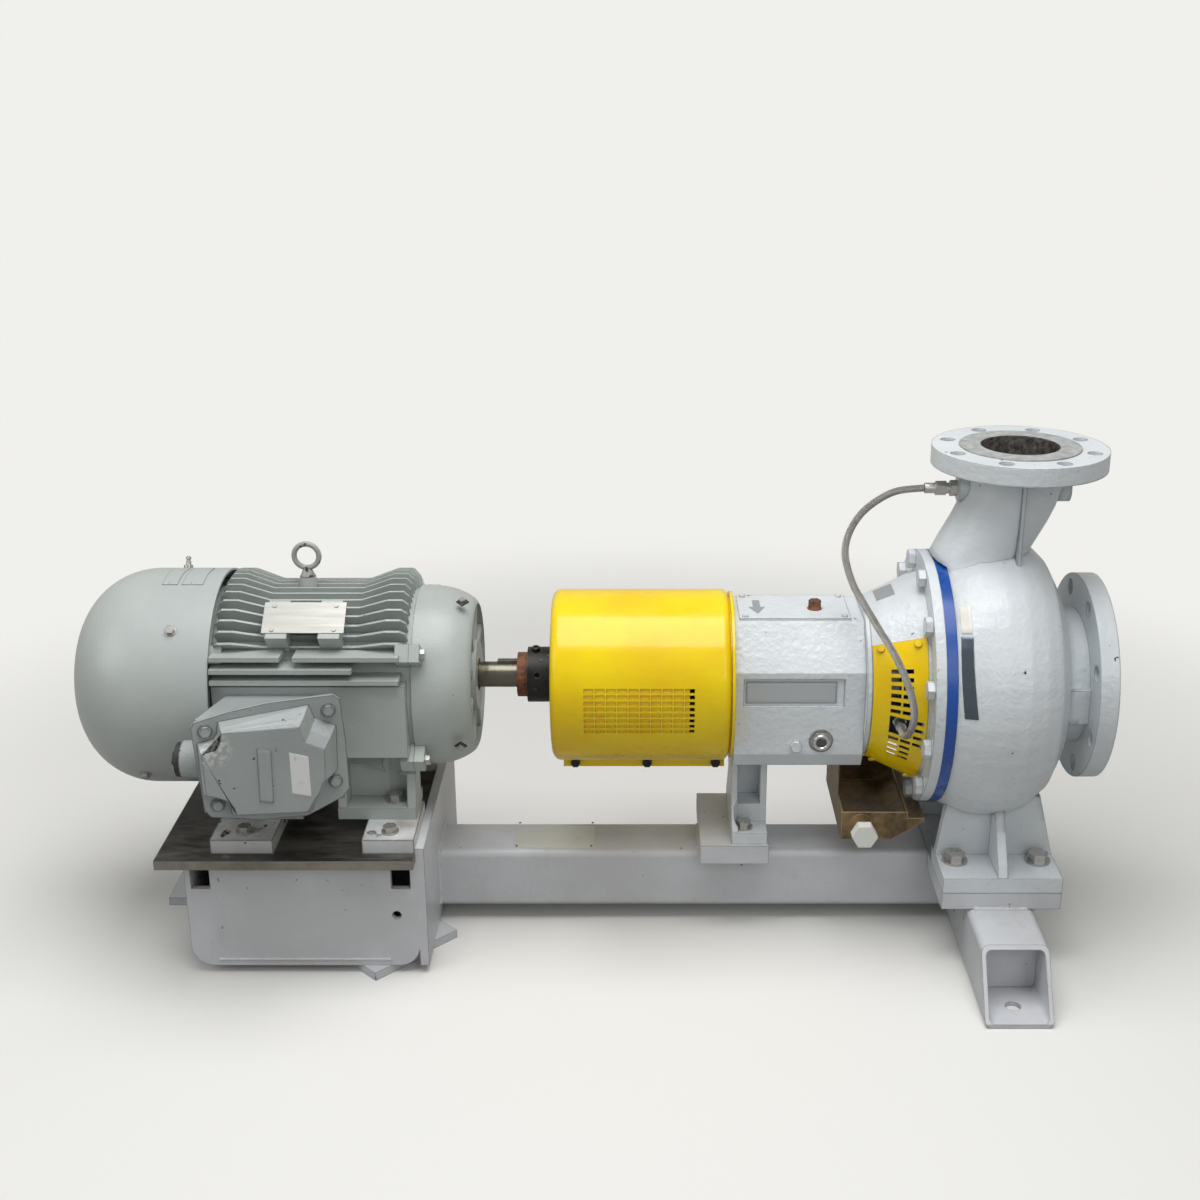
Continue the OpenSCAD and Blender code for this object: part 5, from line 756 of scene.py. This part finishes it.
# Seal gland and hose ends
# Turned stainless steel, lightly stained by the sealing water. The gland is bolted to the casing
# cover round a ring of pressed carbon, and the hose ends are screwed in.
turned_dark, turned_light = (0.44, 0.43, 0.40, 1), (0.56, 0.55, 0.52, 1)
water_stain = (0.25, 0.22, 0.16, 1)
stainless, tree, shader, place = new_finish("turned stainless steel", Metallic=0.9)
turning = noise(tree, place, 180.0, 4.0, 0.6, stretch=(4.0, 1.0, 1.0))
stain = use(tree, blotch_group, Grain=45.0, Cover=0.3, Softness=0.25)
colour = blend(tree, turning, turned_dark, turned_light)
connect(tree, shader, Base_Color=blend(tree, stain, colour, water_stain),
        Roughness=step(tree, turning, 0.3, 0.7, 0.26, 0.4),
        Normal=use(tree, skin_group, Height=turning, Depth=0.0001, Rounding=0.0006))
finish_with(stainless, "seal_gland", "hose_fittings")
# Pressed carbon for the seal ring; the same near-black also paints the shade of the hub holes and
# the bell plug pockets
carbon_and_shade_black = grained("pressed carbon", dark=(0.02, 0.02, 0.02, 1), light=(0.04, 0.04, 0.04, 1),
                 grain=500.0, smooth=0.35, rough=0.5, depth=0.0001)
finish_with(carbon_and_shade_black, "seal_ring")

# Drip pan
# Folded sheet under the seal, stained brown and bronze by what has dripped on it, with a white
# plastic plug in its drain.
bronze_dark, bronze_light = (0.085, 0.055, 0.025, 1), (0.30, 0.21, 0.10, 1)
scum_brown, rubbed_bronze = (0.05, 0.035, 0.02, 1), (0.52, 0.45, 0.32, 1)
bronze, tree, shader, place = new_finish("stained bronze sheet", Metallic=0.4)
stain = noise(tree, place, 24.0, 7.0, 0.7)
colour = blend(tree, step(tree, stain, 0.32, 0.66), bronze_dark, bronze_light)
scum = use(tree, blotch_group, Grain=55.0, Cover=0.22, Softness=0.1)
colour = blend(tree, scum, colour, scum_brown)
bare = use(tree, edge_group, Width=0.002, Break_up=0.5, Grain=120.0)
connect(tree, shader, Base_Color=blend(tree, bare, colour, rubbed_bronze),
        Roughness=step(tree, stain, 0.3, 0.7, 0.34, 0.6),
        Normal=use(tree, skin_group, Height=stain, Depth=0.0005, Rounding=0.001))
finish_with(bronze, "drip_pan")
plug_white, plug_grime = (0.76, 0.76, 0.72, 1), (0.42, 0.38, 0.30, 1)
white_plastic, tree, shader, place = new_finish("white moulded plug", Subsurface_Weight=0.05)
grime = use(tree, blotch_group, Grain=70.0, Cover=0.3, Softness=0.3)
colour = blend(tree, work(tree, "MULTIPLY", grime, 0.5), plug_white, plug_grime)
connect(tree, shader, Base_Color=colour, Roughness=step(tree, grime, 0.0, 1.0, 0.4, 0.6),
        Normal=use(tree, skin_group, Height=noise(tree, place, 260.0), Depth=0.0001,
                   Rounding=0.0015))
finish_with(white_plastic, "drain_plug")


# Plates, stickers and small fittings
# Blank plates of thin sheet, riveted or glued on, and a plain paper sticker. Each follows the
# casting or sheet under it.
def plain_plate(name, light, dark, metallic, roughness, grain=30.0, cover=0.25):
    """A thin plate's finish. The colour goes from light to dark in soft stains, and the same
    stains dull the gloss."""
    material, tree, shader, place = new_finish(name, Metallic=metallic)
    stain = use(tree, blotch_group, Grain=grain, Cover=cover, Softness=0.25)
    fine = noise(tree, place, 300.0, 3.0, 0.5)
    connect(tree, shader, Base_Color=blend(tree, stain, light, dark),
            Roughness=step(tree, stain, 0.0, 1.0, roughness, roughness + 0.2),
            Normal=use(tree, skin_group, Height=fine, Depth=0.00005, Rounding=0.0003))
    return material


tag_plate = plain_plate("blank tag plate", light=(0.64, 0.64, 0.58, 1),
                        dark=(0.48, 0.47, 0.41, 1), metallic=0.1, roughness=0.4)
dull_plate = plain_plate("dull grey plate", light=(0.33, 0.35, 0.36, 1),
                         dark=(0.24, 0.25, 0.26, 1), metallic=0.2, roughness=0.45)
dark_plate = plain_plate("dark brushed plate", light=(0.10, 0.125, 0.15, 1),
                         dark=(0.035, 0.045, 0.055, 1), metallic=0.7, roughness=0.24)
badge_paint = plain_plate("blank badge face", light=(0.47, 0.50, 0.52, 1),
                          dark=(0.36, 0.37, 0.38, 1), metallic=0.2, roughness=0.4)
sticker = plain_plate("plain white sticker", light=(0.74, 0.75, 0.75, 1),
                      dark=(0.38, 0.40, 0.41, 1), metallic=0.0, roughness=0.5, grain=110.0,
                      cover=0.3)


def laid(name, corners, node, material, rise=0.0001, thick=0.0009, cells=(20, 12)):
    """A thin sheet laid on a CAD surface. Its points fill the four corners, from the lower left
    anticlockwise, and each is dropped square to the sheet's middle plane onto the surface, then
    lifted by the rise. The sheet is thickened outwards and its rim is rounded."""
    clear_of = 0.03
    low_left, low_right, high_right, high_left = np.array(corners, float)
    u = np.linspace(0, 1, cells[0])[None, :, None]
    v = np.linspace(0, 1, cells[1])[:, None, None]
    flat = ((1 - v) * ((1 - u) * low_left + u * low_right)
            + v * ((1 - u) * high_left + u * high_right))
    out = np.cross(low_right - low_left, high_left - low_left)
    out /= np.linalg.norm(out)
    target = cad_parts[node]
    points = flat.copy()
    for row, column in np.ndindex(*flat.shape[:2]):
        met, spot, _, _ = target.ray_cast(mathutils.Vector(flat[row, column] + clear_of * out),
                                          mathutils.Vector(-out))
        if met:
            points[row, column] = np.array(spot) + rise * out
    sheet = grid_piece(name, points)
    thickness = sheet.modifiers.new("thickness", "SOLIDIFY")
    thickness.thickness = thick
    thickness.offset = 1.0
    rim = sheet.modifiers.new("rim", "BEVEL")
    rim.width = thick * 0.3
    rim.segments = 2
    finish_with(material, sheet)
    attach(sheet, "pump_set")


def rivets(name, places, out, material, radius=0.0018):
    """Domed rivet heads at the places, standing along out. The profile is given in radii."""
    dome = [(0.0, 0.0001 / radius), (0.0, 1.0), (0.35, 0.92), (0.6, 0.6), (0.7, 0.0001 / radius)]
    for number, spot in enumerate(places):
        turned(f"{name}_{number + 1}", np.array(dome) * radius, spot, out, material,
               steps=20)


plate_x, plate_y, plate_z = (-0.660, -0.547), (-0.0345, 0.0425), 0.112
laid("beam_plate", [(plate_x[0], plate_y[0], plate_z), (plate_x[1], plate_y[0], plate_z),
                    (plate_x[1], plate_y[1], plate_z), (plate_x[0], plate_y[1], plate_z)],
     "base_beam", tag_plate, cells=(8, 6))
rivets("beam_plate_rivet", [(x, y, plate_z + 0.001) for x in (-0.656, -0.551)
                            for y in (-0.0305, 0.0385)], (0, 0, 1), black_oxide)
laid("volute_plate_light", [(-0.0736, -0.1343, 0.4729), (-0.0607, -0.1391, 0.4747),
     (-0.0600, -0.1127, 0.5025), (-0.0738, -0.1075, 0.5005)], "volute_casing", tag_plate,
     cells=(10, 16))
laid("volute_plate_dark", [(-0.0707, -0.1752, 0.3732), (-0.0545, -0.1812, 0.3745),
     (-0.0597, -0.1410, 0.4712), (-0.0745, -0.1362, 0.4697)], "volute_casing", dark_plate,
     cells=(10, 30))
laid("adapter_plate", [(-0.1656, -0.0190, 0.4756), (-0.1425, -0.0214, 0.4864),
     (-0.1423, 0.0165, 0.4872), (-0.1650, 0.0195, 0.4730)], "adapter", dull_plate)
front_edge, back_edge = (-0.0347, 0.5038), (0.0297, 0.5049)
for side, x1, x2 in (("left", -1.1143, -1.0938), ("right", -1.0882, -1.0600)):
    laid(f"fan_cover_plate_{side}", [(x1, *front_edge), (x2, *front_edge), (x2, *back_edge),
                                    (x1, *back_edge)],
         "fan_cover", cover_grey, cells=(8, 16))
rivets("fan_plate_rivet", [(-1.1045, -0.0310, 0.5056), (-1.0750, -0.0310, 0.5056)],
       (0, -0.21, 0.98), zinc)
face_y = -0.0860
for name, x1, x2, z1, z2, material, slot, rise, thick in (
        ("housing_badge", -0.3430, -0.2225, 0.3560, 0.3870, dull_plate, "plate_steel",
         0.0001, 0.0009),
        ("housing_badge_field", -0.3410, -0.2245, 0.3578, 0.3852, badge_paint, "pump_white",
         0.0007, 0.0008)):
    laid(name, [(x1, face_y, z1), (x2, face_y, z1), (x2, face_y, z2), (x1, face_y, z2)],
         "bearing_housing", material, rise=rise, thick=thick, cells=(8, 6))

# The terminal cover's places are given along it, up it and out of it, from the middle of its back
cover_turn = math.radians(14)
cover_reach = 0.094
cover_along = np.array([math.cos(cover_turn), math.sin(cover_turn), 0])
cover_out = np.array([math.sin(cover_turn), -math.cos(cover_turn), 0])
cover_middle = np.array([-0.856, -0.192, 0.328]) - cover_reach * cover_along


def on_cover(points):
    """The world places of points given as millimetres along the cover, up and out."""
    along, up, out = np.array(points, float).T / 1000
    return (cover_middle + along[:, None] * cover_along + up[:, None] * np.array([0, 0, 1.0])
            + out[:, None] * cover_out)


laid("cover_sticker", on_cover([(25, -26, 34), (48, -33, 34), (48, 22, 34), (25, 30, 34)]),
     "terminal_cover", sticker, thick=0.0003, cells=(10, 20))
laid("cover_cast_bar", on_cover([(-15, -32, 34), (2, -36, 34), (4, 36, 34), (-13, 40, 34)]),
     "terminal_cover", box_grey, thick=0.0016, cells=(8, 16))

# A plain arrow that shows the way of turning, sprayed on the housing's top cover
arrow_z = 0.4612
arrow = bpy.data.meshes.new("turning_arrow")
arrow.from_pydata([(x, y, arrow_z) for x, y in [
    (-0.3300, 0.0240), (-0.3300, -0.0020), (-0.3365, -0.0020), (-0.3250, -0.0290),
    (-0.3135, -0.0020), (-0.3200, -0.0020), (-0.3200, 0.0240)]], [], [(0, 1, 2, 3, 4, 5, 6)])
arrow_piece = bpy.data.objects.new("turning_arrow", arrow)
bpy.context.scene.collection.objects.link(arrow_piece)
finish_with(dull_plate, arrow_piece)
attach(arrow_piece, "pump_set")

# The sight glass has a bright steel ring round a dark, wet-looking lens
glass_low, glass_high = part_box("sight_glass")
glass_at = np.array([(glass_low.x + glass_high.x) / 2, glass_low.y,
                     (glass_low.z + glass_high.z) / 2])
turned("sight_glass_ring", [(-0.0005, 0.0062), (-0.0005, 0.0108), (0.0008, 0.0112),
       (0.0018, 0.0104), (0.0018, 0.0078), (0.0010, 0.0068), (-0.0005, 0.0062)], glass_at,
       (0, -1, 0), bright_steel, steps=64)
lens_dark, lens_light = (0.012, 0.014, 0.012, 1), (0.05, 0.055, 0.045, 1)
lens, tree, shader, place = new_finish("dark lens", Coat_Weight=1.0, Coat_Roughness=0.03)
depth_stain = noise(tree, place, 160.0, 3.0, 0.5)
connect(tree, shader, Base_Color=blend(tree, depth_stain, lens_dark, lens_light),
        Roughness=step(tree, depth_stain, 0.3, 0.7, 0.12, 0.25))
turned("sight_glass_lens", [(0.0, 0.0066), (0.0006, 0.0060), (0.0011, 0.0040), (0.0013, 0.0001)],
       glass_at, (0, -1, 0), lens, steps=48)

# A socket screw in the black coupling hub, flat black discs on it painted as the shade of drilled
# holes, and plugs in the drive end bell, each on a black square painted as the shade of its pocket
turned("hub_set_screw", [(-0.002, 0.0001), (-0.002, 0.0055), (0.0052, 0.0055), (0.0060, 0.0048),
       (0.0060, 0.0026), (0.0030, 0.0024), (0.0030, 0.0001)], (-0.6240, -0.0055, 0.3990),
       (0, -0.15, 0.99), black_oxide, "motor_rotor", steps=24)
hub_r = 0.0378
# Each hole is only a flat near-black disc on the hub, painted shade, not a cut
for number, (x, angle) in enumerate([(-0.6165, -37), (-0.6075, -27), (-0.6240, -100)]):
    out = np.array([0, math.sin(math.radians(angle)), math.cos(math.radians(angle))])
    turned(f"hub_hole_shade_{number + 1}", [(0.0001, 0.0001), (0.0001, 0.0022), (0.0003, 0.0026)],
           np.array([x, 0, shaft_z]) + hub_r * out, out, carbon_and_shade_black, "motor_rotor",
           steps=20)
# Each plug sits on a near-black square, painted as the shade of the pocket round it
for number, (spot, out) in enumerate([((-0.7178, -0.0353, 0.4800), (0, -0.29, 0.96)),
                                      ((-0.7191, -0.1090, 0.3050), (0, -0.89, -0.46))]):
    turned(f"bell_plug_pocket_shade_{number + 1}", [(-0.001, 0.0001), (-0.001, 0.0085), (0.0012, 0.0085),
           (0.0014, 0.0078), (0.0014, 0.0001)], spot, out, carbon_and_shade_black, steps=4)
    turned(f"bell_plug_{number + 1}", [(0.0, 0.0001), (0.0, 0.0052), (0.0050, 0.0052),
           (0.0056, 0.0046), (0.0056, 0.0001)], spot, out, zinc, steps=4)


# Floor, backdrop and lamps
# A pale floor under a pale room: the floor fades out some way round the object, so that the plain
# room shows beyond it, and keeps the object's soft shadow.
bpy.ops.mesh.primitive_plane_add(size=12)
floor = bpy.context.object
floor.name = "studio_floor"
floor_seen, floor_reflected = (0.83, 0.826, 0.805, 1), (0.42, 0.415, 0.40, 1)
fade_middle, fade_start_r, fade_end_r = (-0.48, 0.1, 0), 0.75, 1.7
floor_paint, tree, shader, place = new_finish("pale floor", Roughness=0.95,
                                              Specular_IOR_Level=0.2)
seen = put(tree, "ShaderNodeLightPath").outputs
connect(tree, shader, Base_Color=blend(tree, seen["Is Camera Ray"], floor_reflected, floor_seen))
from_middle = put(tree, "ShaderNodeVectorMath", {0: place, 1: fade_middle}, operation="DISTANCE")
kept = step(tree, from_middle.outputs["Value"], fade_start_r, fade_end_r, 1.0, 0.0)
clear = put(tree, "ShaderNodeBsdfTransparent").outputs[0]
fade = put(tree, "ShaderNodeMixShader", {0: kept, 1: clear, 2: shader.outputs[0]}).outputs[0]
tree.links.new(fade, tree.nodes["Material Output"].inputs["Surface"])
floor.data.materials.append(floor_paint)

# The room is shown pale to the camera, lights the object at 0.28, and is seen between the two in
# metal and glass
room_colour, room_light, glossy_share = (0.875, 0.87, 0.838, 1), 0.28, 0.35
world = bpy.data.worlds.new("pale room")
bpy.context.scene.world = world
world.use_nodes = True
tree = world.node_tree
seen = put(tree, "ShaderNodeLightPath").outputs
pale = tree.nodes["Background"]
pale.inputs["Color"].default_value = room_colour
in_metal = work(tree, "MULTIPLY", seen["Is Glossy Ray"], glossy_share)
shown = work(tree, "MAXIMUM", seen["Is Camera Ray"], in_metal)
tree.links.new(work(tree, "MULTIPLY_ADD", shown, 1 - room_light, room_light),
               pale.inputs["Strength"])


def lamp(name, place, size, watts):
    """A square area lamp that faces the middle of the object: it is tipped by the angle between
    its way there and the vertical, and turned by that way's direction in the plan."""
    data = bpy.data.lights.new(name, "AREA")
    data.size = size
    data.energy = watts
    item = bpy.data.objects.new(name, data)
    x, y, z = np.array(place) - np.array([-0.48, 0, 0.3])
    item.location = place
    item.rotation_euler = (math.atan2(math.hypot(x, y), z), 0, math.atan2(x, -y))
    bpy.context.scene.collection.objects.link(item)


lamp("overhead", (-0.5, -0.35, 2.5), size=1.8, watts=49)
lamp("front_right", (0.7, -2.5, 1.9), size=1.6, watts=13)
lamp("left", (-2.6, -1.0, 1.5), size=1.4, watts=10)
